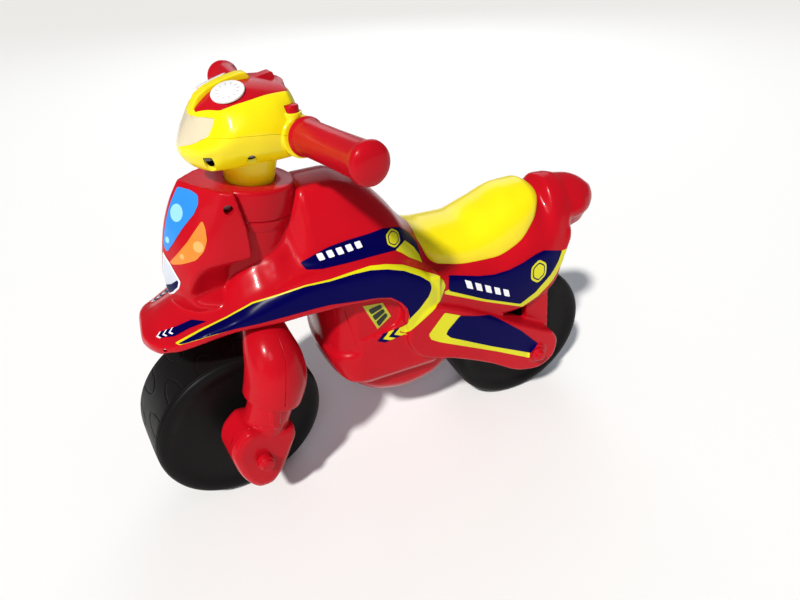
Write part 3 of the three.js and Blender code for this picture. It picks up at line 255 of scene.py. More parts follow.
# Seat edge half width, edge height and crown height at each x
SEAT = (
    (166, 38, 312, 324), (158, 49, 294, 322), (140, 55.5, 282, 319), (100, 57, 273, 319),
    (60, 57, 271, 333), (20, 53, 281, 348), (-6, 45, 302, 349), (-20, 32, 319, 342), (-27, 16, 328, 334),
)
SEAT_SKIRT = 7
SEAT_ROOM = 0.5
SEAT_CROWN_POWER = 0.8

# Heights along the steering axis and radii about it
COLLAR_TOP = 314
COLLAR_R = 50
SEAM = 279.5
# Collar rows as radius from COLLAR_R, or from its bore, and height from the seam or from the top
COLLAR_SEAM_ROWS = ((-1.6, -12), (-0.5, -3), (-0.7, -1.4), (-1.7, 0), (0.1, 0.9), (0.3, 2.5))
COLLAR_TOP_ROWS = ((0, -5), (-0.6, -2.4), (-2.2, -0.7), (-4.5, 0), (-14, -0.4))
COLLAR_BORE_ROWS = ((1.5, -0.6), (0, -2))
COLLAR_SKIRT = 12
NECK_FOOT = 175
NECK_FOOT_INSET = 2.5
NECK_TOP_INSET = 2
NECK_DROP = 4
STEM_FOOT = 276
STEM_FOOT_R = 25.5
STEM_R = 27.4
STEM_TOP = 352
STEM_TOP_R = 33
STEERER_R = 16
STEERER_FOOT = 150
STEERER_TOP = 338

# Handlebar head, top to keel as (y, z) at each x, before the steering turns it
HEAD = (
    (417.5, ((0, 473), (3, 472.5), (6, 471), (8, 468.5), (8, 466), (6, 463), (3, 461), (0, 460.5))),
    (412, ((0, 483), (8, 481.5), (16, 478), (22, 473), (23, 468), (19, 460), (11, 454), (0, 452))),
    (404, ((0, 494), (14, 492), (25, 487), (33, 479), (37, 471), (34, 463), (22, 450), (0, 446.5))),
    (396, ((0, 503), (12, 503), (25, 499), (37, 489), (46, 475), (42, 466), (29, 448), (0, 446))),
    (388, ((0, 509), (14, 508.5), (28, 506.5), (44, 494), (54, 480), (49, 467), (30, 447.5), (0, 446))),
    (374, ((0, 515), (22, 514), (41, 510.5), (53, 501), (61, 486), (56, 468.5), (35, 448), (0, 446))),
    (352, ((0, 520), (25, 519), (45, 514.5), (58, 503), (64, 485), (60.5, 467), (37, 448.5), (0, 446))),
    (330, ((0, 521), (25, 520), (45, 517), (59, 504), (65, 481), (61, 464), (38, 447.5), (0, 446))),
    (313, ((0, 518), (22, 518), (44, 517), (57, 501), (65, 478), (59, 461), (38, 448), (0, 447))),
    (304, ((0, 516), (18, 516), (30, 515), (49, 500), (58, 476), (52, 462), (41, 451), (0, 450))),
    (299.5, ((0, 513), (14, 512), (26, 508.5), (41, 491), (48, 474.5), (43, 465.5), (33, 457), (0, 455.5))),
    (297, ((0, 507), (10, 506.5), (19, 503), (32, 488), (36, 475), (32, 469), (24, 463.5), (0, 463))),
)
HEAD_WALL = 3
LENS_WALL = 2.5
SHRINK_LEAST_SHARE = 0.1
HEAD_WELLS = ((399, 36), (361, 53))
HEAD_WELL_ENDS = (430, 466)
PARTING_GAP = 0.15
PARTING_ENDS = (270, 440)
PARTING = (
    (440, 466), (420, 469.5), (413.5, 475), (404.2, 481.3), (396, 485.5), (388, 486.5), (371, 487),
    (339, 484), (310, 476), (270, 475),
)
SPINE = (
    (401, 498), (397, 507), (390, 517), (379, 523.2), (366, 527.4), (355, 529.8), (344, 531.6),
    (336.5, 531.4), (333.5, 527), (333.5, 511), (380, 505), (396, 496),
)
HUMP = ((333, 524.5), (320, 526.3), (309.5, 528), (307.5, 526), (306, 516), (333, 516))
SPINE_HALF = 7
LENS = (
    (386, 502), (390.3, 494.7), (395.5, 487), (404.2, 481.3), (413.5, 475), (420, 469.5), (440, 466),
    (440, 499.5), (401, 499.5), (392, 502),
)
LENS_MIDDLE = (410, 485)
# Dash panel half width, centre height and edge height at each x
DASH = (
    (395, 12, 506.5, 505), (388, 24, 512, 507), (377, 40, 519, 510), (367, 42.5, 522.5, 512),
    (354.5, 44.5, 525, 514.5), (339, 45, 525.5, 516.5), (322, 44.5, 524, 517), (311, 44, 522, 517.3),
    (305, 27, 521, 518), (299.5, 10, 520.5, 519.5),
)
DASH_DEPTH = 8
DASH_CROWN_POWER = 2.6
DIAL_SINK = 1.6
DIAL_EDGE = (0.8, 0.5)
DIAL_CROWN = 0.7
DIAL_CENTRE = (364.5, 25.8, 521.6)
DIAL_TILT = (0.28, 0.28, 1)
DIAL_R = 17
TICK_COUNT = 12
TICK_REACH = (9.5, 12.5)
TICK_HALF = 0.35
TICK_LIFTS = (0.4, 0.75)
BOX_CORNERS = ((0, -1), (1, -1), (1, 1), (0, 1))
BOX_FACES = ((3, 2, 1, 0), (4, 5, 6, 7), (0, 1, 5, 4), (1, 2, 6, 5), (2, 3, 7, 6), (3, 0, 4, 7))

# Grips and buttons
GRIP_IN = Vector((305.5, 66.8, 475))
GRIP_OUT = Vector((302, 187, 484))
GRIP_TUBE_R = 18.5
BAR_MIDDLE = Vector((309, 0, 472))
BAR_R = 9
BAR_ROOM_SHARES = (-0.05, 1.2)
GRIP_ROOM_REACH = 90
# Grip rows as radius from the flange or from the tube and distance from the inner or the outer end
GRIP_MOUTH = ((-2, 0), (-0.5, 0.6), (0, 2), (-0.3, 3.6), (-1.4, 5))
GRIP_NECK = ((0.2, 6.6), (0, 9))
GRIP_WAIST = 0.4
GRIP_TUBE_END = ((0, -8), (0.5, -5))
GRIP_FLANGE_END = ((-0.6, -2.5), (0, 0), (-0.7, 3))
GRIP_CAP_SHARES = ((0.86, 5.6), (0.62, 7.7), (0.32, 8.7))
GRIP_CAP = 9
GRIP_FLANGE_R = 20.8
GRIP_COLLAR_R = 21.5
GRIP_COLLAR_LENGTH = 26
GRIP_COLLAR_FORWARD = 3.5
BUTTON_SPOT = (313, 56)
BUTTON_R = 7.3
BUTTON_TOP = 506.5
BUTTON_SKIRT = 12
BUTTON_BOSS = (484, 499.5)
BUTTON_BOSS_WALL = 2.2
BUTTON_POCKET = 486
# Button edge as radius from BUTTON_R and height from its top
BUTTON_EDGE = ((0, -1.8), (-0.5, -0.7), (-1.6, -0.1))

# Fork leg centres and radii down the left side, and shoe outline as (x, z)
FORK_LEG = (
    (376, 0, 263, 23), (379, 30, 261, 23.5), (384, 55, 254, 26), (387, 73, 242, 31), (388, 83, 226, 35),
    (390, 86, 208, 37), (395, 86, 192, 36.5), (399, 86, 182, 35.5),
)
FORK_SHIN = ((390, 86, 208, 27), (401, 86, 177, 27.5), (412, 85, 150, 27), (424, 83, 128, 26))
SHOE = (
    (440, 160), (451, 153.5), (461, 143), (466, 128), (463, 102), (455, 77), (441, 61), (429, 59),
    (414, 70), (402, 88), (391, 110), (384, 128), (385, 137), (398, 143), (414, 149), (427, 157),
)
SHOE_Y = (55, 111)
SHOE_BEVEL = 9
TYRE_ROOM = 8
FORK_GROOVES = (
    ((380, 84, 268), (380.5, 95, 262), (381, 103, 252.5), (384, 113, 241), (388, 118, 228), (392, 122, 215),
     (396, 123, 196), (400, 119, 179)),
    ((464, 98, 140.5), (455, 100, 154.5), (439, 105.5, 162.5), (417, 114, 162)),
)
FORK_RIB = ((411.5, 185), (401, 181), (406, 152), (415, 158))
FORK_RIB_Y = (96, 115)
FORK_GROOVE_R = 0.8
FORK_GROOVE_WAY = Vector((10, 80, 45))

# Axle caps as (radius, height)
FRONT_CAP_PROFILE = (
    (0, 0), (10, 0), (10, 7.2), (9.7, 8.2), (9.1, 8.8), (8.4, 9), (8, 9.4), (7.9, 11.7), (7.5, 12.3),
    (6.9, 12.45), (0, 12.45),
)
REAR_CAP_PROFILE = (
    (0, 0), (11, 0), (11, 1.4), (10.6, 2.2), (9.4, 2.6), (8.2, 2.9), (7.7, 3.6), (7.6, 6.9), (7.2, 7.6),
    (6.5, 7.95), (0, 7.95),
)
FRONT_CAP_Y = 111.3
REAR_CAP_Y = 96.3

# Wheel wall from the hub to the middle of the tread as (radius, half width)
TREAD = (
    (5.3, 50), (17, 50), (19.5, 49.4), (20.6, 48), (22, 43.5), (24, 41.8), (27, 41.2), (40, 41), (60, 41.3),
    (76, 42), (84, 42.8), (88, 43.8), (91, 45.2), (95, 46.6), (99, 47.3), (103, 46.9), (106, 45.4),
    (107.6, 43.6), (107.9, 42.9), (107.2, 42.3), (107.3, 41.8), (108.3, 41.5), (108.8, 40.6), (108.9, 39.9),
    (108.2, 39.4), (108.3, 38.9), (109.2, 38.5), (109.5, 36), (109.8, 28), (110, 16), (110, 0),
)
TREAD_ROWS = 56
# Inside of the wheel wall, from the tread to the hub
WHEEL_INNER = ((105.5, 20), (103.5, 38), (88, 40), (22, 36), (5.3, 36))
LOBE_FROM_R = 107
LOBE_COUNT = 14
LOBE_REACH = 31
LOBE_HALF = 12
LOBE_LINE = 0.9
LOBE_DEPTH = 0.9
LOBE_STAGGER_SHARE = 0.5
TREAD_EDGE = 38

# Look of moulded plastic: noise as (scale, detail), bumps in millimetres
TINT_NOISE = (14, 3)
TINT_STOPS = (0.3, 0.7)
TINT_SHARE = 0.06
GLOSS_NOISE = (60, 5)
GLOSS_SHARES = (0.8, 1.25)
PEEL_NOISE = (900, 2)
PEEL_DEPTH = 0.4
PEEL = 0.02
WAVE_NOISE = (22, 1)
WAVE_DEPTH = 2
WAVE = 0.15
SHINE = 0.3
COAT_ROUGH = 0.06
FILM_LOOK = {"peel": 0.01, "wave": 0.08}
RIB_SCALE = 150
RIB_STRENGTH = 0.5
RIB_DEPTH = 0.3

# Films: point spacing, thickness, height over the skin and corner radii
FILM_STEP = 1.7
FINE_STEP = 1.1
SMALL_STEP = 1.5
CHEVRON_FILM_STEP = 1.2
FILM_TEAR = 6
FILM_THICK = 0.1
FILM_LIFT = 0.5
FILM_LAYER = 0.16
EDGE_ROOM_SHARE = 0.45
SIDE_REACH = 300
DISC_POINTS = 28
CORNER_POINTS = 5
CORNER_SHARE = 0.45
FRONT_CORNER = 3
SIDE_CORNER = 2

# Film outlines as (x, y, z) on the left side
PANEL_FOOT = (
    (202, 90, 240), (205, 91, 253), (212, 92, 264), (225, 92, 275.5), (243, 93, 281), (270, 93, 284.5),
    (300, 93, 289), (319, 92, 289), (350, 90, 287.5), (381, 87, 285.5), (411, 80, 282.5),
)
PANEL_YELLOW = (
    (473, 63, 273), (443, 66.5, 284.5), (413, 69, 293.3), (383, 73.5, 306.3), (354, 82, 313),
    (325, 85.5, 318.2), (296, 88, 319), (269, 87, 321), (247, 86, 322), (228, 85, 318.5), (204, 81, 309),
    (179, 76, 292), (161, 77, 282), (149, 79, 271), (146, 80, 262), (155, 86, 247), (171, 91, 237),
    (188, 90, 225), (205, 85, 211), (212, 86, 216), (205, 88, 226), *PANEL_FOOT, (439, 76, 279),
    (469, 67, 271.5),
)
PANEL_NAVY = (
    (470, 65, 272.3), (443, 68, 283), (413, 70, 292), (383, 75, 305), (354, 83, 311.7), (325, 86, 316.6),
    (297, 88, 316.5), (269, 88, 318), (248, 88, 317.5), (227, 88, 313), (205, 87, 304), (184, 86, 290),
    (171, 86, 278), (170, 88, 271), (175, 90, 261), (188, 91, 247), (202, 89, 235), (206, 87, 224),
    (203, 90, 232), *PANEL_FOOT, (439, 77, 280), (466, 67.5, 272.3),
)
TANK_NAVY = (
    (321, 62, 334), (317, 69, 327), (300, 73, 325.5), (270, 74.5, 326), (241, 73.5, 326), (226, 71, 325),
    (206, 67, 323), (195, 66, 315), (180, 62, 303), (169, 58, 293), (167, 53, 300), (169, 45, 315),
    (178, 40, 328), (193, 48, 342), (219, 59, 351), (238, 62, 350), (263, 63, 349), (285, 62.5, 346),
    (294, 63, 344),
)
TANK_YELLOW = (
    (190, 56, 327), (177, 52, 313), (169, 54, 300), (168, 59, 291), (176, 62, 298), (188, 65, 306.5),
    (198, 66, 316), (207, 67.5, 323),
)
TAIL_NAVY = (
    (138, 72, 271), (120, 73, 266), (94, 73, 258), (70, 73, 253.5), (45, 72, 253.5), (22, 70, 257.5),
    (1, 66, 262.5), (-14, 64, 264), (-49, 61, 253), (-42, 64.5, 240), (-27, 69, 224), (-2, 72, 204),
    (24, 74, 193), (84, 77, 221), (140, 79, 252), (141, 78, 259),
)
TAIL_YELLOW = (
    (148, 81, 255), (138, 79, 254), (24, 74, 196), (-2, 72, 206), (-46, 62, 253), (-60, 56, 252),
    (-58, 59, 247), (-47, 64, 229), (-33, 68, 212), (-8, 71, 195), (20, 73.5, 186.5), (84, 77, 217),
    (148, 81, 251),
)
ARM_YELLOW = (
    (153, 92, 230), (131, 92, 219), (121, 92, 206), (131, 92, 196), (120, 92, 183), (60, 92, 150),
    (14, 92, 117), (14, 92, 105), (70, 92, 137), (160, 92, 185), (173, 92, 194), (176, 92, 203),
)
ARM_NAVY = (
    (131, 92, 218), (97, 92, 207), (80, 92, 202), (31, 92, 160), (0, 92, 127), (13, 92, 114),
    (80, 92, 150), (144, 92, 187), (151, 92, 195), (148, 92, 201),
)
HEADLIGHT = (
    (422, 3, 425), (419, 8, 425), (412, 20, 425), (408, 30, 422), (411, 35, 414), (418, 35, 405),
    (431, 30, 391), (444, 23, 373), (453, 14, 359.5), (455, 10, 360), (455, 6, 367), (448, 6, 387),
    (438, 5, 407),
)
INDICATOR = (
    (412, 43, 400), (411, 47, 393), (413, 51, 380), (419, 51, 368), (428, 47, 358.5), (443, 35, 351.5),
    (453, 22, 347), (455, 18, 348.5), (444, 29, 362), (432, 38, 377), (420, 41, 391),
)
CHIN = (
    (458, 4, 357), (455, 18, 347), (451, 29, 334), (449, 32, 329), (452, 29, 320), (460, 18, 309),
    (466, 8, 303), (468, 4, 303), (467, 4, 320), (464, 4, 336),
)
CHIN_INNER = (
    (459, 6, 352), (456, 17, 344), (452, 27, 333), (451, 29, 329), (453, 27, 321), (460, 18, 312),
    (465, 9, 306), (467, 6, 306), (466, 6, 320), (463, 6, 336),
)
CHIN_BAND = (
    (466, 6, 316), (460, 19, 322), (452, 28, 330), (451, 29, 328), (453, 27, 321), (460, 18, 312),
    (465, 9, 306), (467, 6, 306),
)
BEAK_STRIPE = (
    (490, 38, 271), (486, 35, 274), (468, 41.5, 280), (450, 45, 286), (435, 60, 288), (454, 55, 282),
    (472, 53, 275), (487, 43, 271),
)
HEADLIGHT_WAY = (0.8, 0.5, 0.3)
INDICATOR_WAY = (0.65, 0.75, 0.12)
CHIN_WAY = (0.85, 0.5, 0.05)
BEAK_WAY = (0.25, 0.25, 1)
FLANK_WAY = (0, 1, 0.5)
HEADLIGHT_SPOTS = (((432, 16, 402), 9.5), ((449, 12, 372), 3.6))
INDICATOR_SPOTS = (((423, 47, 373), 6), ((440, 34, 360), 3))
TANK_BADGE = ((207, 61, 336.5), 9.5, 12)
TAIL_BADGE = ((-4, 70, 236.5), 13.5, 17)
BADGE_EDGE_SHARES = (1, 0.78, 0.66)
# Ends, height and slant of each row of bars
TANK_BARS = (((300, 332.5), (243, 338)), 8, -2.5)
TAIL_BARS = (((113, 248), (38, 209)), 12, -3)
BAR_COUNT = 5
BAR_FILL_SHARE = 0.62
BAR_CORNER = 1.2
ARCH_FIN = ((257, 263), (231, 260), (221, 237), (240, 223))
FIN_SLOT_STARTS = (0.06, 0.34, 0.62)
FIN_SLOT_SHARE = 0.22
FIN_SLOT_TILT_SHARE = 0.12
FIN_SLOT_ENDS = (0.14, 0.86)
FIN_SLOT_CORNER = 2.5
CHEVRON_FOOT = (243, 208)
CHEVRON_STEP = (-7.4, 1.4)
CHEVRON_ARMS = ((-8, 8.5), (-9.5, -4.5))
CHEVRON_COUNT = 4
# White chevrons of the beak, as (x, y) from a spot and height
BEAK_CHEVRON = (
    (0, 4.6, 272), (3.2, 0, 273), (-1.2, -4.0, 275), (0.8, -4.2, 275), (5.6, 0, 273), (1.8, 4.8, 272),
)
BEAK_CHEVRON_COUNT = 3
BEAK_CHEVRON_SPOT = (486, 39.5)
BEAK_CHEVRON_STEP = (-7.5, 1.9)

# Camera and floor, with angles in degrees
CAMERA_SENSOR = 36
CAMERA_LENS = 26.24
CAMERA_CLIP = 0.01
CAMERA_TURN = (67.6, 33.7, -2.7)
CAMERA_AIM = (179.3, 7.6, 207.4)
CAMERA_REACH = 816.1
FLOOR_REACH = 9000
FLOOR_DROP = 0.5
FLOOR_COLOUR = (0.93, 0.93, 0.93, 1)
FLOOR_ROUGH = 0.9
SUN_WAY = (0.67, 0.6, 1)
SUN_POWER = 3.3
SUN_ANGLE = 4
SUN_COLOUR = (1, 0.975, 0.93)
# Area lights in metres: place, size, power and colour
LIGHT_AIM = (0.2, 0, 0.25)
LIGHTS = (
    ("sky", (-1.0, -2.6, 2.2), 2.6, 24, (0.86, 0.92, 1)),
    ("front", (2.6, 1.2, 0.9), 1.2, 3, (1, 1, 1)),
    ("sheen", (1.0, 2.0, 2.1), 0.7, 8, (0.78, 0.87, 1)),
)
WORLD_COLOUR = (0.9, 0.94, 1, 1)
WORLD_STRENGTH = 0.17


# Curves and lofts


def slopes(at, values):
    """Slopes of the smooth curve through values that never overshoots them."""
    step = np.diff(at)[:, None]
    rise = np.diff(values, axis=0) / step
    out = np.zeros_like(values)
    out[0], out[-1] = rise[0], rise[-1]
    before, after = rise[:-1], rise[1:]
    same = before * after > 0
    w1 = 2 * step[1:] + step[:-1]
    w2 = step[1:] + 2 * step[:-1]
    safe_before = np.where(same, before, 1)
    safe_after = np.where(same, after, 1)
    out[1:-1] = np.where(same, (w1 + w2) / (w1 / safe_before + w2 / safe_after), 0)
    return out


def along(at, values, where):
    """values at the places where, on the smooth curve through (at, values)."""
    at = np.asarray(at, float)
    flat = np.asarray(values, float).reshape(len(at), -1)
    if at[0] > at[-1]:
        at, flat = at[::-1], flat[::-1]
    m = slopes(at, flat)
    k = np.clip(np.searchsorted(at, where, side="right") - 1, 0, len(at) - 2)
    h = (at[k + 1] - at[k])[:, None]
    t = (np.asarray(where)[:, None] - at[k][:, None]) / h
    value = (
        (2 * t**3 - 3 * t**2 + 1) * flat[k]
        + (t**3 - 2 * t**2 + t) * h * m[k]
        + (3 * t**2 - 2 * t**3) * flat[k + 1]
        + (t**3 - t**2) * h * m[k + 1]
    )
    return value.reshape((len(value),) + np.asarray(values).shape[1:])


def around(points, count):
    """count points spread evenly round a smooth closed curve through points."""
    points = np.asarray(points, float)
    pad = 3
    wrapped = np.vstack([points[-pad:], points, points[: pad + 1]])
    gaps = np.linalg.norm(np.diff(wrapped, axis=0), axis=1)
    at = np.concatenate([[0], np.cumsum(np.maximum(gaps, 1e-6))])
    start, end = at[pad], at[pad + len(points)]
    return along(at, wrapped, start + (end - start) * np.arange(count) / count)


def mirrored(half):
    half = np.asarray(half, float)
    back = half[1:-1][::-1] * np.array([1, -1, 1])
    return np.vstack([half, back])


def spread(first, last, step):
    return np.linspace(first, last, max(2, round(abs(last - first) / step) + 1))


def mesh_piece(name, points, faces):
    mesh = bpy.data.meshes.new(name)
    mesh.from_pydata((np.asarray(points, float) * MM).tolist(), [], faces)
    mesh.validate()
    piece = bpy.data.objects.new(name, mesh)
    bpy.context.scene.collection.objects.link(piece)
    return piece


def face_out(piece):
    """Turns every face of a closed piece outwards."""
    mesh = piece.data
    volume = 0.0
    for polygon in mesh.polygons:
        volume += polygon.center.dot(polygon.normal) * polygon.area
    if volume < 0:
        mesh.flip_normals()
    return piece


def loft(name, rings):
    """A closed piece through rings of equally many points, with a fan on each end."""
    rings = np.asarray(rings, float)
    stations, count = rings.shape[:2]
    points = np.vstack([rings.reshape(-1, 3), rings[0].mean(0), rings[-1].mean(0)])
    faces = []
    for i in range(stations - 1):
        for j in range(count):
            a, b = i * count + j, i * count + (j + 1) % count
            faces.append((a, b, b + count, a + count))
    low, high = len(points) - 2, len(points) - 1
    last = (stations - 1) * count
    for j in range(count):
        faces.append(((j + 1) % count, j, low))
        faces.append((last + j, last + (j + 1) % count, high))
    return face_out(mesh_piece(name, points, faces))


def loft_x(name, table, step, count):
    """A loft of (x, ((y, z), ...)) rows, mirrored across the centre plane."""
    xs = [row[0] for row in table]
    halves = np.array([row[1] for row in table], float)
    where = spread(xs[0], xs[-1], step)
    rings = []
    for x, half in zip(where, along(xs, halves, where)):
        rings.append(around(mirrored([(x, y, z) for y, z in half]), count))
    return loft(name, rings)


def loft_z(name, table, step, count):
    """A loft of (z, ((x, y), ...)) rows, mirrored across the centre plane."""
    zs = [row[0] for row in table]
    halves = np.array([row[1] for row in table], float)
    where = spread(zs[0], zs[-1], step)
    rings = []
    for z, half in zip(where, along(zs, halves, where)):
        rings.append(around(mirrored([(x, y, z) for x, y in half]), count))
    return loft(name, rings)


def prism_y(name, outline, y_low, y_high):
    """A straight block with an outline in x and z, from y_low to y_high."""
    outline = list(outline)
    count = len(outline)
    points = [(x, y, z) for y in (y_low, y_high) for x, z in outline]
    faces = [tuple(range(count)), tuple(range(2 * count - 1, count - 1, -1))]
    for j in range(count):
        k = (j + 1) % count
        faces.append((j, j + count, k + count, k))
    return face_out(mesh_piece(name, points, faces))


def smooth_outline(outline, count):
    return around([(x, 0, z) for x, z in outline], count)[:, (0, 2)]


def turned(name, start, towards, profile, sides):
    """A solid of revolution about the line from start towards a point, profile as (radius, height)."""
    start, towards = Vector(start), Vector(towards)
    way = (towards - start).normalized()
    side = way.orthogonal().normalized()
    other = way.cross(side)
    angles = np.linspace(0, 2 * np.pi, sides, endpoint=False)
    spokes = np.outer(np.cos(angles), side) + np.outer(np.sin(angles), other)
    closed = profile[0] == profile[-1]
    rows = profile[:-1] if closed else profile
    points, index, faces = [], [], []
    for r, h in rows:
        centre = np.array(start) + np.array(way) * h
        if r == 0:
            index.append([len(points)] * sides)
            points.append(centre)
        else:
            index.append(list(range(len(points), len(points) + sides)))
            points.extend(centre + spokes * r)
    following = index[1:] + index[:1] if closed else index[1:]
    for low, high in zip(index, following):
        for j in range(sides):
            k = (j + 1) % sides
            corner = (low[j], low[k], high[k], high[j])
            kept = tuple(dict.fromkeys(corner))
            if len(kept) > 2:
                faces.append(kept)
    return face_out(mesh_piece(name, points, faces))


def rod(name, start, end, radius, sides=ROD_SIDES):
    length = (Vector(end) - Vector(start)).length
    return turned(name, start, end, [(0, 0), (radius, 0), (radius, length), (0, length)], sides)


def tube(name, stations, step, sides):
    """A round bar through (x, y, z, radius) stations on one smooth curve."""
    table = np.asarray(stations, float)
    gaps = np.linalg.norm(np.diff(table[:, :3], axis=0), axis=1)
    at = np.concatenate([[0], np.cumsum(gaps)])
    rows = along(at, table, spread(0, at[-1], step))
    rings = []
    angles = np.linspace(0, 2 * np.pi, sides, endpoint=False)
    for i, row in enumerate(rows):
        before, after = rows[max(i - 1, 0)], rows[min(i + 1, len(rows) - 1)]
        way = (after - before)[:3]
        way = way / np.linalg.norm(way)
        side = np.array([1.0, 0, 0]) - way * way[0]
        side = side / np.linalg.norm(side)
        other = np.cross(way, side)
        ring = row[:3] + row[3] * (np.outer(np.cos(angles), side) + np.outer(np.sin(angles), other))
        rings.append(ring)
    return loft(name, rings)


def flip_y(piece, name):
    """A mirrored copy on the other side of the centre plane."""
    copy = copied(piece, name)
    copy.data.transform(Matrix.Diagonal((1, -1, 1, 1)))
    copy.data.flip_normals()
    return copy


def steer_matrix():
    foot = Matrix.Translation(AXIS_FOOT * MM)
    return foot @ Matrix.Rotation(STEER, 4, AXIS) @ foot.inverted()


STEER_TURN = steer_matrix()


def steered(piece):
    piece.data.transform(STEER_TURN)
    return piece


def on_axis(height):
    return AXIS_FOOT + AXIS * height


# Joining, cutting and smoothing


def bake(piece):
    """Applies every modifier of a piece."""
    bpy.context.view_layer.update()
    graph = bpy.context.evaluated_depsgraph_get()
    made = bpy.data.meshes.new_from_object(piece.evaluated_get(graph))
    piece.modifiers.clear()
    piece.data = made
    return piece


def combine(piece, others, operation):
    for other in others:
        cut = piece.modifiers.new("combine", "BOOLEAN")
        cut.operation = operation
        cut.solver = "MANIFOLD"
        cut.object = other
        bake(piece)
        bpy.data.objects.remove(other)
    return piece


def joined(piece, others):
    return combine(piece, others, "UNION")


def cut(piece, others):
    return combine(piece, others, "DIFFERENCE")


def kept(piece, others):
    return combine(piece, others, "INTERSECT")


def moulded(piece, voxel, rounds):
    """Remeshes a piece into one even skin and rounds its creases as a mould does."""
    skin = piece.modifiers.new("skin", "REMESH")
    skin.mode = "VOXEL"
    skin.voxel_size = voxel * MM
    bake(piece)
    soft = piece.modifiers.new("soft", "SMOOTH")
    soft.factor = SMOOTH_SHARE
    soft.iterations = rounds
    return bake(piece)


def copied(piece, name):
    copy = piece.copy()
    copy.data = piece.data.copy()
    copy.name = name
    bpy.context.scene.collection.objects.link(copy)
    return copy


def shade(piece, angle=None):
    """Smooth shading, with edges sharper than angle left crisp."""
    piece.data.shade_smooth()
    if angle is not None:
        piece.data.set_sharp_from_angle(angle=math.radians(angle))
    return piece


# Materials


def node(tree, kind, **values):
    made = tree.nodes.new(kind)
    for key, value in values.items():
        setattr(made, key, value)
    return made


def noise(tree, place, scale, detail):
    made = node(tree, "ShaderNodeTexNoise")
    made.inputs["Scale"].default_value = scale
    made.inputs["Detail"].default_value = detail
    tree.links.new(place, made.inputs["Vector"])
    return made.outputs["Fac"]


def bump(tree, height, strength, depth, before=None):
    """A bump of a depth in millimetres, laid over the normals of the one before."""
    made = node(tree, "ShaderNodeBump")
    made.inputs["Strength"].default_value = strength
    made.inputs["Distance"].default_value = depth * MM
    tree.links.new(height, made.inputs["Height"])
    if before is not None:
        tree.links.new(before, made.inputs["Normal"])
    return made.outputs["Normal"]


def tint(tree, place, colour):
    """The colour, slightly darker in some places and lighter in others."""
    ramp = node(tree, "ShaderNodeValToRGB")
    for stop, position, share in zip(ramp.color_ramp.elements, TINT_STOPS, (-TINT_SHARE, TINT_SHARE)):
        stop.position = position
        stop.color = (*(min(1, c * (1 + share)) for c in colour), 1)
    tree.links.new(noise(tree, place, *TINT_NOISE), ramp.inputs["Fac"])
    return ramp.outputs["Color"]


def gloss(tree, place, rough):
    made = node(tree, "ShaderNodeMapRange")
    for end, share in zip(("To Min", "To Max"), GLOSS_SHARES):
        made.inputs[end].default_value = rough * share
    tree.links.new(noise(tree, place, *GLOSS_NOISE), made.inputs["Value"])
    return made.outputs["Result"]


def plastic(name, colour, rough, peel=PEEL, wave=WAVE, coat=0.0, shine=SHINE):
    """Moulded plastic: slightly uneven colour and gloss, a fine skin and a slow waviness."""
    material = bpy.data.materials.new(name)
    material.use_nodes = True
    tree = material.node_tree
    tree.nodes.clear()
    out = node(tree, "ShaderNodeOutputMaterial")
    shader = node(tree, "ShaderNodeBsdfPrincipled")
    tree.links.new(shader.outputs["BSDF"], out.inputs["Surface"])
    place = node(tree, "ShaderNodeTexCoord").outputs["Object"]
    tree.links.new(tint(tree, place, colour), shader.inputs["Base Color"])
    tree.links.new(gloss(tree, place, rough), shader.inputs["Roughness"])
    grain = bump(tree, noise(tree, place, *PEEL_NOISE), peel, PEEL_DEPTH)
    slack = bump(tree, noise(tree, place, *WAVE_NOISE), wave, WAVE_DEPTH, grain)
    tree.links.new(slack, shader.inputs["Normal"])
    shader.inputs["Specular IOR Level"].default_value = shine
    shader.inputs["Coat Weight"].default_value = coat
    shader.inputs["Coat Roughness"].default_value = COAT_ROUGH
    return material


RED = plastic("red_plastic", (0.50, 0.004, 0.012), 0.22, coat=0.07, shine=0.1)
YELLOW = plastic("yellow_plastic", (0.94, 0.77, 0.003), 0.24, coat=0.15)
BLACK = plastic("black_plastic", (0.006, 0.0052, 0.0055), 0.42, peel=0.06, wave=0.05, shine=0.09)
NAVY = plastic("navy_film", (0.001, 0.0004, 0.062), 0.24, **FILM_LOOK, shine=0.05)
LEMON = plastic("yellow_film", (0.70, 0.66, 0.006), 0.24, **FILM_LOOK)
WHITE_FILM = plastic("white_film", (0.9, 0.9, 0.92), 0.24, **FILM_LOOK)
SILVER_FILM = plastic("silver_film", (0.62, 0.66, 0.74), 0.24, **FILM_LOOK)
OLIVE = plastic("olive_film", (0.46, 0.46, 0.03), 0.3, **FILM_LOOK)
DARK_FILM = plastic("dark_film", (0.012, 0.02, 0.012), 0.3, **FILM_LOOK)
PALE_FILM = plastic("pale_film", (0.30, 0.66, 0.88), 0.2, **FILM_LOOK)
ORANGE_FILM = plastic("orange_film", (0.88, 0.24, 0.03), 0.22, **FILM_LOOK)
PEACH_FILM = plastic("peach_film", (0.92, 0.42, 0.13), 0.22, **FILM_LOOK)
LAMP_FILM = plastic("lamp_film", (0.03, 0.26, 0.80), 0.2, **FILM_LOOK)
DIAL = plastic("dial_face", (0.86, 0.86, 0.86), 0.3)
LENS_LOOK = plastic("lens_plastic", (0.74, 0.64, 0.45), 0.18, coat=0.4)
TICK = plastic("dial_tick", (0.42, 0.42, 0.45), 0.3)
BOARD = plastic("board", (0.02, 0.22, 0.07), 0.4)
CELL = plastic("cell_wrap", (0.02, 0.08, 0.4), 0.3)
STEEL = plastic("plated_steel", (0.5, 0.5, 0.52), 0.3)
DARK_STEEL = plastic("dark_steel", (0.16, 0.16, 0.17), 0.35)


def shader_of(material):
    return next(n for n in material.node_tree.nodes if n.type == "BSDF_PRINCIPLED")


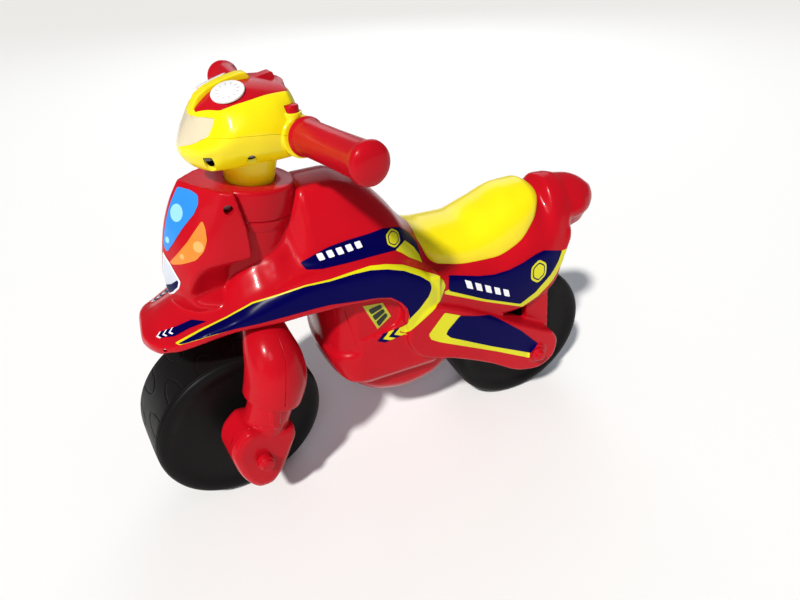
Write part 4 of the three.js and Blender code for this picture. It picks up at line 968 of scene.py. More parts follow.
def metal(material):
    shader_of(material).inputs["Metallic"].default_value = 1


def ribbed(material):
    """Fine upright ribs, as a lens has."""
    tree = material.node_tree
    normal = shader_of(material).inputs["Normal"]
    before = normal.links[0].from_socket
    rib = node(tree, "ShaderNodeTexWave", bands_direction="X")
    rib.inputs["Scale"].default_value = RIB_SCALE
    tree.links.new(node(tree, "ShaderNodeTexCoord").outputs["Object"], rib.inputs["Vector"])
    tree.links.new(bump(tree, rib.outputs["Fac"], RIB_STRENGTH, RIB_DEPTH, before), normal)


metal(STEEL)
metal(DARK_STEEL)
ribbed(LENS_LOOK)


def dress(piece, material, body, replaces=()):
    piece.data.materials.clear()
    piece.data.materials.append(material)
    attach(piece, body)
    if replaces:
        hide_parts(*replaces)
    return piece


# Body


def both(piece):
    return [piece, flip_y(piece, piece.name + "_mirror")]


def seat_ring(row, grow):
    x, half, edge, crown = row
    t = np.linspace(0, np.pi, SEAT_POINTS)
    y = (half + grow) * np.cos(t)
    z = edge + (crown - edge + grow) * np.sin(t) ** SEAT_CROWN_POWER
    over = np.stack([np.full_like(y, x), y, z], axis=1)
    under = over[1:-1][::-1].copy()
    under[:, 2] = edge - SEAT_SKIRT - grow
    return np.vstack([over, under])


def seat_block(name, grow):
    table = np.array(SEAT, float)
    rows = along(table[:, 0], table, spread(table[0, 0] + grow, table[-1, 0] - grow, SEAT_STEP))
    return loft(name, [seat_ring(row, grow) for row in rows])


def beveled_prism(name, outline, low, high, bevel):
    """A block with an outline in x and z whose outer edges are rounded by rings."""
    outline = np.asarray(outline, float)
    centre = outline.mean(0)
    rings = []
    for depth, inset in BEVEL_SHARES:
        rings.append((low + bevel * depth, bevel * inset))
    for depth, inset in reversed(BEVEL_SHARES):
        rings.append((high - bevel * depth, bevel * inset))
    levels = []
    for y, inset in rings:
        way = outline - centre
        reach = np.linalg.norm(way, axis=1, keepdims=True)
        level = centre + way * (1 - inset / np.maximum(reach, bevel * 2))
        levels.append(np.stack([level[:, 0], np.full(len(level), y), level[:, 1]], axis=1))
    return loft(name, levels)


def about_axis(name, profile, sides=ROUND_SIDES):
    """A solid turned about the steering axis, with heights along it."""
    return turned(name, AXIS_FOOT, on_axis(1), profile, sides)


def neck_core():
    top = COLLAR_TOP - NECK_DROP
    foot_r, top_r = COLLAR_R - NECK_FOOT_INSET, COLLAR_R - NECK_TOP_INSET
    return about_axis("neck", [(0, NECK_FOOT), (foot_r, NECK_FOOT), (top_r, top), (0, top)])


def groove(name, line, radius, grain):
    return tube(name, [(*spot, radius) for spot in line], *grain)


def upper_body():
    """The tank, deck, beak and cowl, with the cowl ending under the head."""
    body = loft_x("body_shell", BODY, *BODY_GRAIN)
    cowl = loft_z("cowl", COWL, *COWL_GRAIN)
    lid_profile = [(0, COLLAR_TOP), (BIG, COLLAR_TOP), (BIG, BIG), (0, BIG)]
    cut(cowl, [about_axis("lid", lid_profile, ROD_SIDES)])
    return body, cowl


def make_body():
    body, cowl = upper_body()
    arm = beveled_prism("arm", smooth_outline(ARM, ARM_POINTS), *ARM_Y, ARM_BEVEL)
    boss = rod("boss", (0, ARM_Y[0], WHEEL_R), (0, ARM_Y[1] + BOSS_RISE, WHEEL_R), BOSS_R)
    strut = prism_y("strut", STRUT, *STRUT_Y)
    engine = loft_z("engine", ENGINE, *ENGINE_GRAIN)
    belly = loft_x("belly", BELLY, *BELLY_GRAIN)
    joined(body, [cowl, neck_core(), engine, belly, *both(arm), *both(boss), *both(strut)])
    cut(body, both(prism_y("arch", smooth_outline(ARCH, ARCH_POINTS), *ARCH_Y)))
    moulded(body, *BODY_SKIN)
    well_ends = ((0, side * REAR_WELL_HALF, WHEEL_R) for side in (-1, 1))
    wheel_room = rod("room", *well_ends, REAR_WELL_R, LARGE_SIDES)
    front_room = loft_x("front_room", FRONT_WELL, *WELL_GRAIN)
    stem_room = rod("stem_room", on_axis(STEM_FOOT - RUN), on_axis(BIG), STEM_R + RUN)
    cut(body, [wheel_room, front_room, stem_room, seat_block("seat_room", SEAT_ROOM)])
    screw_well = rod("screw_well", *COWL_SCREW_WELL, SCREW_WELL_R, SCREW_SIDES)
    cut(body, [screw_well, *both(rod("notch", *BEAK_NOTCH, BEAK_NOTCH_R, SMALL_SIDES))])
    for k, line in enumerate(ENGINE_GROOVES):
        cut(body, both(groove(f"groove_{k}", line, GROOVE_R, GROOVE_GRAIN)))
    shade(body, EDGE_ANGLE)
    return dress(body, RED, "frame", ("body_left", "body_right"))


def make_collar():
    """The smooth upper ring of the neck, with the groove under it."""
    bore, foot = STEM_R + RUN, SEAM - COLLAR_SKIRT
    profile = [(bore, foot)]
    profile += [(COLLAR_R + r, SEAM + h) for r, h in COLLAR_SEAM_ROWS]
    profile += [(COLLAR_R + r, COLLAR_TOP + h) for r, h in COLLAR_TOP_ROWS]
    profile += [(bore + r, COLLAR_TOP + h) for r, h in COLLAR_BORE_ROWS]
    profile += [(bore, foot)]
    collar = about_axis("neck_collar", profile, LARGE_SIDES)
    dress(shade(collar, TURNED_ANGLE), RED, "frame")


def make_seat():
    seat = moulded(seat_block("seat_pad", 0), *SEAT_SKIN)
    dress(shade(seat), YELLOW, "frame", ("seat",))


# Films laid on the body


class Skin:
    """The outer surface of a piece, on which films are laid."""

    def __init__(self, piece):
        mesh = piece.data
        points = [v.co / MM for v in mesh.vertices]
        self.tree = BVHTree.FromPolygons(points, [tuple(p.vertices) for p in mesh.polygons])

    def drop(self, start, way, lift):
        hit, normal, _, _ = self.tree.ray_cast(Vector(start), Vector(way))
        if hit is None:
            return None
        if normal.dot(Vector(way)) > 0:
            normal = -normal
        return hit + normal * lift


def inside_outline(points, outline):
    """True for each point that lies inside a closed outline."""
    x, y = points[:, :1], points[:, 1:]
    x0, y0 = outline[:, 0], outline[:, 1]
    x1, y1 = np.roll(x0, -1), np.roll(y0, -1)
    rise = np.where(y1 == y0, 1, y1 - y0)
    crossing = ((y0 > y) != (y1 > y)) & (x < (x1 - x0) * (y - y0) / rise + x0)
    return crossing.sum(axis=1) % 2 == 1


def refined(outline, step):
    """The same outline with no side longer than step."""
    out = []
    outline = np.asarray(outline, float)
    for a, b in zip(outline, np.roll(outline, -1, axis=0)):
        pieces = max(1, int(np.ceil(np.linalg.norm(b - a) / step)))
        out.extend(a + (b - a) * k / pieces for k in range(pieces))
    return np.array(out)


def inner_grid(border, step):
    """Evenly staggered points inside an outline, clear of its edge."""
    low, high = border.min(0), border.max(0)
    xs, ys = np.arange(low[0], high[0], step), np.arange(low[1], high[1], step)
    grid = np.array([(x, y + (k % 2) * step / 2) for k, x in enumerate(xs) for y in ys])
    grid = grid[inside_outline(grid, border)]
    near = np.linalg.norm(grid[:, None] - border[None], axis=2).min(axis=1)
    return grid[near > step * EDGE_ROOM_SHARE]


def film(name, skin, outline, project, lift, material, step=FILM_STEP):
    """A thin film on a skin: a flat outline, filled with even points and dropped along a direction."""
    border = refined(outline, step)
    flat = [Vector(p) for p in np.vstack([border, inner_grid(border, step)])]
    flat, _, faces, _, _, _ = delaunay_2d_cdt(flat, [], [list(range(len(border)))], 1, 1e-5)
    placed = [skin.drop(*project(p.x, p.y), lift) for p in flat]

    def sound(face):
        corners = [placed[i] for i in face]
        if any(c is None for c in corners):
            return False
        return max((a - b).length for a, b in zip(corners, corners[1:] + corners[:1])) < FILM_TEAR

    faces = [tuple(face) for face in faces if sound(face)]
    used = sorted({i for face in faces for i in face})
    number = {old: new for new, old in enumerate(used)}
    points = [tuple(placed[i]) for i in used]
    piece = mesh_piece(name, points, [tuple(number[i] for i in face) for face in faces])
    thick = piece.modifiers.new("thick", "SOLIDIFY")
    thick.thickness = FILM_THICK * MM
    thick.offset = -1
    bake(piece)
    return dress(shade(piece, TURNED_ANGLE), material, "frame")


def from_side(side):
    return lambda x, z: ((x, side * SIDE_REACH, z), (0, -side, 0))


class Slant:
    """A flat frame that faces a slanted direction, for films on curved noses and decks."""

    def __init__(self, way):
        self.way = Vector(way).normalized()
        self.across = Vector((0, 0, 1)).cross(self.way).normalized()
        self.up = self.way.cross(self.across)

    def flat(self, points):
        return [(Vector(p).dot(self.across), Vector(p).dot(self.up)) for p in points]

    def onto(self, side):
        def ray(u, v):
            start = self.across * u + self.up * v + self.way * BIG
            turned_way = self.way.copy()
            start.y *= side
            turned_way.y *= side
            return start, -turned_way

        return ray


def disc(centre, radius):
    turns = np.linspace(0, 2 * np.pi, DISC_POINTS, endpoint=False)
    return [(centre[0] + radius * np.cos(t), centre[1] + radius * np.sin(t)) for t in turns]


def rounded(corners, radius):
    """An outline whose corners are eased by short arcs."""
    corners = [np.array(c, float) for c in corners]
    out = []
    for before, corner, after in zip([corners[-1]] + corners[:-1], corners, corners[1:] + corners[:1]):
        u, v = before - corner, after - corner
        reach = min(radius, np.linalg.norm(u) * CORNER_SHARE, np.linalg.norm(v) * CORNER_SHARE)
        a = corner + u / np.linalg.norm(u) * reach
        b = corner + v / np.linalg.norm(v) * reach
        for t in np.linspace(0, 1, CORNER_POINTS):
            out.append((1 - t) ** 2 * a + 2 * t * (1 - t) * corner + t * t * b)
    return np.array(out)


def bars(ends, height, slant):
    """Slanted bars side by side between two points."""
    (x0, z0), (x1, z1) = ends
    out = []
    for k in range(BAR_COUNT):
        a, b = k / BAR_COUNT, (k + BAR_FILL_SHARE) / BAR_COUNT
        corners = []
        for share, rise in ((a, 0), (b, 0), (b, 1), (a, 1)):
            x = x0 + (x1 - x0) * share - slant * rise
            z = z0 + (z1 - z0) * share + height * rise
            corners.append((x, z))
        out.append(rounded(corners, BAR_CORNER))
    return out


def badge(centre, half_width, half_height, share):
    """A six sided badge with soft corners."""
    u, v = centre
    a, b = half_width * share, half_height * share
    corners = (
        (u, v + b), (u + a, v + b / 2), (u + a, v - b / 2),
        (u, v - b), (u - a, v - b / 2), (u - a, v + b / 2),
    )
    return rounded(corners, a / 3)


def fin_slot(start):
    """A slanted slot across the fin, as an (x, z) outline."""
    a, b, c, d = (np.array(corner, float) for corner in ARCH_FIN)
    low, high = FIN_SLOT_ENDS
    places = (
        (low, start + FIN_SLOT_TILT_SHARE), (high, start), (high, start + FIN_SLOT_SHARE),
        (low, start + FIN_SLOT_SHARE + FIN_SLOT_TILT_SHARE),
    )
    corners = []
    for across, down in places:
        left, right = a + (d - a) * down, b + (c - b) * down
        corners.append(left + (right - left) * across)
    return rounded(corners, FIN_SLOT_CORNER)


def chevron(number):
    """A wide V whose foot points forward, as an (x, z) outline."""
    (x, z), (dx, dz) = CHEVRON_FOOT, CHEVRON_STEP
    foot = (x + dx * number, z + dz * number)
    back = (foot[0] + dx, foot[1] + dz)
    (ax, az), (bx, bz) = CHEVRON_ARMS
    return (foot, (foot[0] + ax, foot[1] + az), (back[0] + ax, back[1] + az), back,
            (back[0] + bx, back[1] + bz), (foot[0] + bx, foot[1] + bz))


def spot_rows(name, slant, spots, material):
    """Rows of round films over a lamp, from ((centre, radius), ...)."""
    rows = []
    for k, (centre, r) in enumerate(spots):
        outline = disc(slant.flat([centre])[0], r)
        rows.append((f"{name}_{k}", slant, outline, FILM_LIFT + FILM_LAYER, material, SMALL_STEP))
    return rows


def front_films(skin, side, word):
    lamp, amber = Slant(HEADLIGHT_WAY), Slant(INDICATOR_WAY)
    chin, beak = Slant(CHIN_WAY), Slant(BEAK_WAY)
    first, second, third = FILM_LIFT, FILM_LIFT + FILM_LAYER, FILM_LIFT + 2 * FILM_LAYER
    rows = [
        ("lamp_film", lamp, rounded(lamp.flat(HEADLIGHT), FRONT_CORNER), first, LAMP_FILM, FILM_STEP),
        ("amber_film", amber, rounded(amber.flat(INDICATOR), FRONT_CORNER), first, ORANGE_FILM, FILM_STEP),
        *spot_rows("lamp_spot", lamp, HEADLIGHT_SPOTS, PALE_FILM),
        *spot_rows("amber_spot", amber, INDICATOR_SPOTS, PEACH_FILM),
        ("chin_edge", chin, rounded(chin.flat(CHIN), FRONT_CORNER), first, WHITE_FILM, FILM_STEP),
        ("chin_face", chin, chin.flat(CHIN_INNER), second, SILVER_FILM, FILM_STEP),
        ("chin_band", chin, chin.flat(CHIN_BAND), third, NAVY, FILM_STEP),
        ("beak_stripe", beak, beak.flat(BEAK_STRIPE), first, NAVY, FILM_STEP),
    ]
    for k in range(BEAK_CHEVRON_COUNT):
        x, y = (at + way * k for at, way in zip(BEAK_CHEVRON_SPOT, BEAK_CHEVRON_STEP))
        arms = beak.flat([(x + dx, y + dy, z) for dx, dy, z in BEAK_CHEVRON])
        rows.append((f"beak_chevron_{k}", beak, arms, second, WHITE_FILM, CHEVRON_FILM_STEP))
    for name, slant, outline, lift, material, step in rows:
        film(f"{name}_{word}", skin, outline, slant.onto(side), lift, material, step)


def side_films(skin, side, word):
    flank = Slant(FLANK_WAY)
    layers = (
        ("panel_yellow", PANEL_YELLOW, 0, LEMON), ("panel_navy", PANEL_NAVY, 1, NAVY),
        ("tank_navy", TANK_NAVY, 0, NAVY), ("tank_yellow", TANK_YELLOW, 1, LEMON),
        ("tail_yellow", TAIL_YELLOW, 0, LEMON), ("tail_navy", TAIL_NAVY, 1, NAVY),
        ("arm_yellow", ARM_YELLOW, 0, LEMON), ("arm_navy", ARM_NAVY, 1, NAVY),
    )
    for name, outline, layer, material in layers:
        lift = FILM_LIFT + layer * FILM_LAYER
        step = FINE_STEP if name == "panel_yellow" else FILM_STEP
        outline = rounded(flank.flat(outline), SIDE_CORNER)
        film(f"{name}_{word}", skin, outline, flank.onto(side), lift, material, step)
    top = FILM_LIFT + 2 * FILM_LAYER
    for name, (centre, width, height) in (("tank", TANK_BADGE), ("tail", TAIL_BADGE)):
        for k, share in enumerate(BADGE_EDGE_SHARES):
            outline = badge(flank.flat([centre])[0], width, height, share)
            lift = top + k * FILM_LAYER
            colour = NAVY if k == 1 else LEMON
            film(f"{name}_badge_{k}_{word}", skin, outline, flank.onto(side), lift, colour)
    onto = from_side(side)
    for name, row in (("tank", TANK_BARS), ("tail", TAIL_BARS)):
        for k, bar in enumerate(bars(*row)):
            film(f"{name}_bar_{k}_{word}", skin, bar, onto, top, WHITE_FILM)
    film(f"fin_yellow_{word}", skin, ARCH_FIN, onto, FILM_LIFT, OLIVE)
    for k, start in enumerate(FIN_SLOT_STARTS):
        film(f"fin_slot_{k}_{word}", skin, fin_slot(start), onto, top, DARK_FILM, SMALL_STEP)
    for k in range(CHEVRON_COUNT):
        film(f"chevron_{k}_{word}", skin, chevron(k), onto, top, LEMON if k % 2 else NAVY)


def make_films(skin):
    for side, word in SIDES:
        side_films(skin, side, word)
        front_films(skin, side, word)


# Wheels and axles


def lobe_depth(angle, across):
    """Depth of the curved lines pressed into the tread, at an angle and a distance from its middle."""
    stagger = np.where(across < 0, LOBE_STAGGER_SHARE, 0)
    turn = angle / (2 * np.pi) * LOBE_COUNT + stagger
    along_line = (turn - np.round(turn)) * 2 * np.pi * WHEEL_R / LOBE_COUNT
    reach = (TREAD_EDGE - np.abs(across)) / LOBE_REACH
    off = np.abs(np.sqrt((along_line / LOBE_HALF) ** 2 + reach**2) - 1) * LOBE_HALF
    return LOBE_DEPTH * np.clip(1 - off / LOBE_LINE, 0, 1) * (np.abs(across) < TREAD_EDGE)


def wheel_profile():
    """The closed outline of a wheel's wall as (radius, distance from its middle)."""
    edge = [(r, h) for r, h in TREAD if h > TREAD_EDGE]
    crown = TREAD[len(edge) - 1 :]
    heights = [h for _, h in crown]
    radii = [[r] for r, _ in crown]
    across = np.linspace(TREAD_EDGE, 0, TREAD_ROWS)
    top = [(float(r), float(h)) for r, h in zip(along(heights, radii, across)[:, 0], across)]
    half = edge + top
    other = [(r, -h) for r, h in reversed(half[:-1])]
    back = [(r, -h) for r, h in reversed(WHEEL_INNER)]
    return half + other + back + list(WHEEL_INNER)


def wheel_piece(name, centre):
    """A wheel turned about its axle, with lobes pressed into the tread."""
    sides = WHEEL_SIDES
    angles = np.linspace(0, 2 * np.pi, sides, endpoint=False)
    rings = []
    for r, h in wheel_profile():
        level = np.full(sides, h)
        pressed = r > LOBE_FROM_R and abs(h) <= TREAD_EDGE
        out = r - (lobe_depth(angles, level) if pressed else 0)
        ring = np.stack([out * np.cos(angles), level, out * np.sin(angles)], axis=1)
        rings.append(ring + np.array(centre, float))
    rows = len(rings)
    faces = []
    for i in range(rows):
        k = (i + 1) % rows
        for j in range(sides):
            m = (j + 1) % sides
            faces.append((i * sides + j, i * sides + m, k * sides + m, k * sides + j))
    return face_out(mesh_piece(name, np.vstack(rings), faces))


def make_wheels():
    rear = wheel_piece("rear_wheel_moulding", (0, 0, WHEEL_R))
    front = steered(wheel_piece("front_wheel_moulding", front_axle(0)))
    for piece, body in ((rear, "rear_wheel"), (front, "front_wheel")):
        dress(shade(piece, EDGE_ANGLE), BLACK, body, (body,))


# Fork


def front_axle(y):
    return (WHEELBASE, y, WHEEL_R + FRONT_WHEEL_LIFT)


def make_fork():
    sleeve = tube("fork_moulding", FORK_LEG, *FORK_GRAIN)
    other = flip_y(sleeve, "sleeve")
    shin = tube("shin", FORK_SHIN, *SHIN_GRAIN)
    shoe = beveled_prism("shoe", smooth_outline(SHOE, SHOE_POINTS), *SHOE_Y, SHOE_BEVEL)
    steerer = rod("steerer", on_axis(STEERER_FOOT), on_axis(STEERER_TOP), STEERER_R)
    rib = prism_y("rib", FORK_RIB, *FORK_RIB_Y)
    joined(sleeve, [other, *both(shin), *both(shoe), *both(rib), steerer])
    moulded(sleeve, *FORK_SKIN)
    room_ends = (front_axle(side * SHOE_Y[0]) for side in (-1, 1))
    room = rod("room", *room_ends, WHEEL_R + TYRE_ROOM, ROUND_SIDES)
    bore = rod("bore", front_axle(-BIG), front_axle(BIG), AXLE_R + FIT, SMALL_SIDES)
    cut(sleeve, [room, bore])
    skin = Skin(sleeve)
    for k, line in enumerate(FORK_GROOVES):
        laid = [skin.drop(Vector(spot) + FORK_GROOVE_WAY, -FORK_GROOVE_WAY, 0) for spot in line]
        laid = [spot for spot in laid if spot]
        cut(sleeve, both(groove(f"fork_line_{k}", laid, FORK_GROOVE_R, FORK_GROOVE_GRAIN)))
    dress(shade(steered(sleeve), FORK_ANGLE), RED, "steering", ("fork",))


# Axle caps


def cap(name, seat, side, profile):
    seat = Vector(seat)
    return turned(name, seat, seat + Vector((0, side, 0)), profile, ROD_SIDES)


def make_caps():
    for side, word in SIDES:
        seat = front_axle(side * FRONT_CAP_Y)
        front = steered(cap(f"front_cap_{word}_dome", seat, side, FRONT_CAP_PROFILE))
        seat = (0, side * REAR_CAP_Y, WHEEL_R)
        rear = cap(f"rear_cap_{word}_dome", seat, side, REAR_CAP_PROFILE)
        for piece, body, place in ((front, "steering", "front"), (rear, "frame", "rear")):
            replaced = (f"{place}_axle_cap_{word}",)
            dress(shade(piece, TURNED_ANGLE), RED, body, replaced)


# Handlebar head


def head_block(name, inset):
    rows = []
    last = len(HEAD) - 1
    for i, (x, half) in enumerate(HEAD):
        half = np.array(half, float)
        top, keel = half[0, 1], half[-1, 1]
        widest = half[:, 0].max()
        half[:, 0] *= max(1 - inset / widest, SHRINK_LEAST_SHARE)
        middle = (top + keel) / 2
        share = max(1 - 2 * inset / (top - keel), SHRINK_LEAST_SHARE)
        half[:, 1] = middle + (half[:, 1] - middle) * share
        shift = -inset if i == 0 else inset if i == last else 0
        rows.append((x + shift, half))
    return loft_x(name, rows, *HEAD_GRAIN)


def above_parting(rise):
    line = [(x, z + rise) for x, z in PARTING]
    return prism_y("above", line + [(x, BIG) for x in PARTING_ENDS], -BIG, BIG)


def lens_block(gap):
    grown = [
        (x + gap * np.sign(x - LENS_MIDDLE[0]), z + gap * np.sign(z - LENS_MIDDLE[1])) for x, z in LENS
    ]
    return prism_y("lens_block", grown, -BIG, BIG)


def dash_block(name, gap):
    table = np.array(DASH, float)
    where = spread(table[0, 0] + gap, table[-1, 0] - gap, DASH_STEP)
    shares = np.linspace(0, 1, DASH_POINTS)
    rings = []
    for x, half, centre, edge in along(table[:, 0], table, where):
        reach = half + gap
        heights = centre + (edge - centre) * shares**DASH_CROWN_POWER + gap
        over = [(x, reach * share, z) for share, z in zip(shares, heights)]
        floor = edge - DASH_DEPTH - gap
        rings.append(mirrored(over + [(x, reach, floor), (x, 0, floor)]))
    return loft(name, rings)


def grip_line(distance):
    way = (GRIP_OUT - GRIP_IN).normalized()
    return GRIP_IN + way * distance


def button_rod(name, low, high, radius):
    x, y = BUTTON_SPOT
    return rod(name, (x, y, low), (x, y, high), radius, BUTTON_SIDES)


def spine_block(name, gap=0):
    return prism_y(name, SPINE, -SPINE_HALF - gap, SPINE_HALF + gap)


def head_outside():
    """The head with its grip collars, button bosses and spine, before it is parted."""
    head = head_block("head_upper", 0)
    collar = rod("grip_collar", grip_line(-GRIP_COLLAR_LENGTH), grip_line(-FIT), GRIP_COLLAR_R)
    collar.data.transform(Matrix.Translation((GRIP_COLLAR_FORWARD * MM, 0, 0)))
    boss = button_rod("boss", *BUTTON_BOSS, BUTTON_R + RUN + BUTTON_BOSS_WALL)
    joined(head, [*both(collar), *both(boss), spine_block("spine")])
    return moulded(head, *HEAD_SKIN)


def cut_upper_head(head):
    grip_room = rod("grip_room", grip_line(-FIT), grip_line(GRIP_ROOM_REACH), GRIP_FLANGE_R + FIT)
    pockets = both(button_rod("pocket", BUTTON_POCKET, BUTTON_TOP, BUTTON_R + RUN))
    dash_room = dash_block("dash_room", FIT)
    cut(dash_room, [spine_block("spine_keep")])
    cut(head, [dash_room, lens_block(FIT), *pockets, *both(grip_room)])
    kept(head, [above_parting(PARTING_GAP)])


def cut_lower_head(head):
    cut(head, [above_parting(-PARTING_GAP), lens_block(FIT)])
    profile = [
        (0, STEM_FOOT), (STEM_FOOT_R, STEM_FOOT), (STEM_R, COLLAR_TOP),
        (STEM_TOP_R, STEM_TOP), (0, STEM_TOP),
    ]
    joined(head, [about_axis("stem", profile)])
    wells = []
    for x, y in HEAD_WELLS:
        ends = ((x, y, z) for z in HEAD_WELL_ENDS)
        wells.extend(both(rod("well", *ends, SCREW_WELL_R, SCREW_SIDES)))
    bar_way = GRIP_IN - BAR_MIDDLE
    ends = (BAR_MIDDLE + bar_way * share for share in BAR_ROOM_SHARES)
    bar_rooms = both(rod("bar_room", *ends, BAR_R + FIT))
    cut(head, [*wells, head_block("inside", HEAD_WALL), *bar_rooms])


def make_head():
    upper = head_outside()
    lower = copied(upper, "head_lower")
    cut_upper_head(upper)
    cut_lower_head(lower)
    for piece, word in ((upper, "upper"), (lower, "lower")):
        replaced = (f"head_{word}_shell",)
        dress(shade(steered(piece), EDGE_ANGLE), YELLOW, "steering", replaced)


def make_lens():
    lens = head_block("lens", 0)
    cut(lens, [head_block("inside", LENS_WALL)])
    kept(lens, [lens_block(0)])
    replaced = ("headlight_lens",)
    dress(shade(steered(lens), EDGE_ANGLE), LENS_LOOK, "steering", replaced)


def dial_ticks(name, centre, tilt):
    """Short plain marks round a dial, as thin raised bars."""
    side = tilt.orthogonal().normalized()
    other = tilt.cross(side)
    points, faces = [], []
    for turn in np.linspace(0, 2 * np.pi, TICK_COUNT, endpoint=False):
        out = side * math.cos(turn) + other * math.sin(turn)
        over = tilt.cross(out)
        first = len(points)
        for lift in TICK_LIFTS:
            for end, half in BOX_CORNERS:
                points.append(centre + out * TICK_REACH[end] + over * half * TICK_HALF + tilt * lift)
        faces.extend(tuple(first + corner for corner in face) for face in BOX_FACES)
    return face_out(mesh_piece(name, points, faces))


def make_dash():
    dash = dash_block("dash", 0)
    joined(dash, [prism_y("hump", HUMP, -SPINE_HALF, SPINE_HALF)])
    moulded(dash, *DASH_SKIN)
    cut(dash, [spine_block("spine_room", FIT)])
    dress(shade(steered(dash), EDGE_ANGLE), RED, "steering", ("dash_panel",))


def make_dials():
    inset, edge = DIAL_EDGE
    profile = [
        (0, -DIAL_SINK), (DIAL_R, -DIAL_SINK), (DIAL_R, 0), (DIAL_R - inset, edge), (0, DIAL_CROWN),
    ]
    for side, word in SIDES:
        tilt = Vector((DIAL_TILT[0], side * DIAL_TILT[1], DIAL_TILT[2])).normalized()
        centre = Vector((DIAL_CENTRE[0], side * DIAL_CENTRE[1], DIAL_CENTRE[2]))
        dial = turned(f"dial_face_{word}", centre, centre + tilt, profile, ROUND_SIDES)
        dress(shade(steered(dial), EDGE_ANGLE), DIAL, "steering", (f"dial_{word}",))
        dress(steered(dial_ticks(f"dial_ticks_{word}", centre, tilt)), TICK, "steering")


def grip_profile():
    """A grip from its inner flange to its rounded end as (radius, distance)."""
    flange, tube_r = GRIP_FLANGE_R, GRIP_TUBE_R
    length = (GRIP_OUT - GRIP_IN).length
    profile = [(0, 0)]
    profile += [(flange + r, h) for r, h in GRIP_MOUTH]
    profile += [(tube_r + r, h) for r, h in GRIP_NECK]
    profile += [(tube_r - GRIP_WAIST, length / 2)]
    profile += [(tube_r + r, length + h) for r, h in GRIP_TUBE_END]
    profile += [(flange + r, length + h) for r, h in GRIP_FLANGE_END]
    profile += [(flange * share, length + h) for share, h in GRIP_CAP_SHARES]
    return profile + [(0, length + GRIP_CAP)]


def make_grips():
    grip = turned("grip_left_moulding", GRIP_IN, GRIP_OUT, grip_profile(), ROUND_SIDES)
    other = flip_y(grip, "grip_right_moulding")
    for piece, word in ((grip, "left"), (other, "right")):
        replaced = (f"grip_{word}",)
        dress(shade(steered(piece), TURNED_ANGLE), RED, "steering", replaced)


def make_buttons():
    x, y = BUTTON_SPOT
    profile = [(0, 0), (BUTTON_R, 0)]
    profile += [(BUTTON_R + r, BUTTON_SKIRT + h) for r, h in BUTTON_EDGE]
    profile += [(0, BUTTON_SKIRT)]
    for side, word in SIDES:
        start = Vector((x, side * y, BUTTON_TOP - BUTTON_SKIRT))
        end = start + Vector((0, 0, 1))
        button = steered(turned(f"button_{word}_cap", start, end, profile, BUTTON_SIDES))
        dress(shade(button, TURNED_ANGLE), RED, f"button_{word}", (f"button_{word}",))


def make_springs():
    """Return springs, copied from the solid springs and finished in steel."""
    for side, word in SIDES:
        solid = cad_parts[f"button_spring_{word}"]
        wire = solid.data.copy()
        wire.transform(solid.matrix_world)
        wire.materials.clear()
        wire.materials.append(STEEL)
        spring = bpy.data.objects.new(f"return_spring_{word}", wire)
        bpy.context.scene.collection.objects.link(spring)
        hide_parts(f"button_spring_{word}")
        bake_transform(spring)


# Solids that stay as they are, with their finishes

CARRIED = {
    "rear_axle": STEEL, "front_axle": STEEL, "handlebar_tube": STEEL,
    "cowl_screw": DARK_STEEL, "steering_bolt": DARK_STEEL,
    **{f"head_screw_{k}": DARK_STEEL for k in (1, 2, 3, 4)},
    "reflector": DIAL, "led_left": DIAL, "led_right": DIAL,
    "battery_tray": BLACK, "speaker": BLACK, "circuit_board": BOARD,
    **{f"battery_cell_{k}": CELL for k in (1, 2, 3)},
}


def finish_carried():
    for name, material in CARRIED.items():
        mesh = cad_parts[name].data
        mesh.materials.clear()
        mesh.materials.append(material)


# Stage


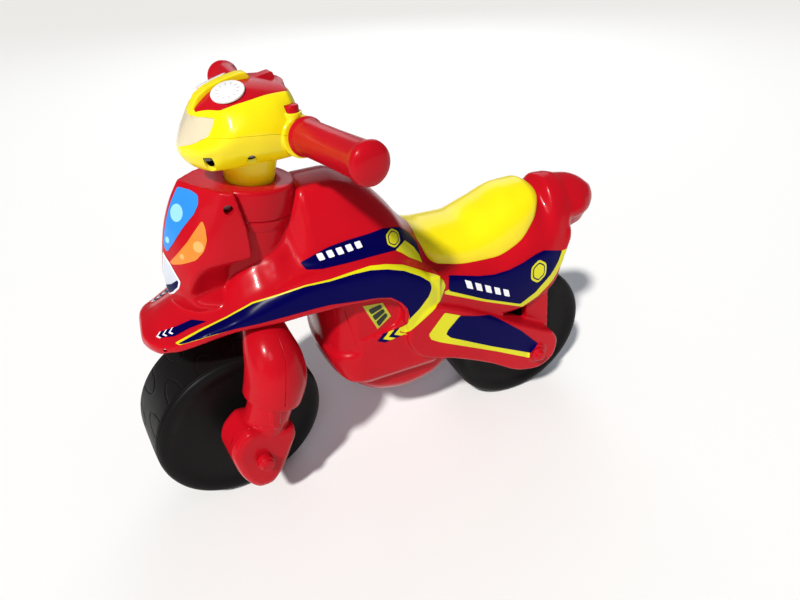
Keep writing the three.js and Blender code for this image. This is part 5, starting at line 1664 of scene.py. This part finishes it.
def make_camera():
    camera = bpy.data.cameras.new("camera")
    camera.sensor_width = CAMERA_SENSOR
    camera.lens = CAMERA_LENS
    camera.clip_start = CAMERA_CLIP
    holder = bpy.data.objects.new("camera", camera)
    bpy.context.scene.collection.objects.link(holder)
    azimuth, elevation, roll = (math.radians(angle) for angle in CAMERA_TURN)
    level = math.cos(elevation)
    back = Vector((math.cos(azimuth) * level, math.sin(azimuth) * level, math.sin(elevation)))
    right = Vector((0, 0, 1)).cross(back).normalized()
    up = back.cross(right)
    right, up = (
        right * math.cos(roll) + up * math.sin(roll),
        up * math.cos(roll) - right * math.sin(roll),
    )
    place = Vector(CAMERA_AIM) * MM + back * (CAMERA_REACH * MM)
    turn = Matrix((right, up, back)).transposed().to_4x4()
    holder.matrix_world = Matrix.Translation(place) @ turn
    bpy.context.scene.camera = holder


def make_floor():
    reach = FLOOR_REACH
    corners = [(-reach, -reach, 0), (reach, -reach, 0), (reach, reach, 0), (-reach, reach, 0)]
    floor = mesh_piece("floor", corners, [(0, 1, 2, 3)])
    material = bpy.data.materials.new("floor")
    material.use_nodes = True
    shader = material.node_tree.nodes["Principled BSDF"]
    shader.inputs["Base Color"].default_value = FLOOR_COLOUR
    shader.inputs["Roughness"].default_value = FLOOR_ROUGH
    floor.data.materials.append(material)
    floor.location.z = -FLOOR_DROP * MM


def make_sun():
    sun = bpy.data.lights.new("sun", "SUN")
    sun.energy = SUN_POWER
    sun.angle = math.radians(SUN_ANGLE)
    sun.color = SUN_COLOUR
    holder = bpy.data.objects.new("sun", sun)
    bpy.context.scene.collection.objects.link(holder)
    holder.rotation_euler = Vector(SUN_WAY).to_track_quat("Z", "Y").to_euler()


def make_area_light(name, place, size, power, colour):
    light = bpy.data.lights.new(name, "AREA")
    light.shape = "DISK"
    light.size = size
    light.energy = power
    light.color = colour
    holder = bpy.data.objects.new(name, light)
    bpy.context.scene.collection.objects.link(holder)
    holder.location = place
    way = Vector(LIGHT_AIM) - Vector(place)
    holder.rotation_euler = way.to_track_quat("-Z", "Y").to_euler()


def make_world():
    world = bpy.data.worlds.new("world")
    world.use_nodes = True
    background = world.node_tree.nodes["Background"]
    background.inputs["Color"].default_value = WORLD_COLOUR
    background.inputs["Strength"].default_value = WORLD_STRENGTH
    bpy.context.scene.world = world
    bpy.context.scene.view_settings.view_transform = "Standard"


make_camera()
make_floor()
make_sun()
for light in LIGHTS:
    make_area_light(*light)
make_world()
make_films(Skin(make_body()))
make_collar()
make_seat()
make_wheels()
make_fork()
make_caps()
make_head()
make_lens()
make_dash()
make_dials()
make_grips()
make_buttons()
make_springs()
finish_carried()
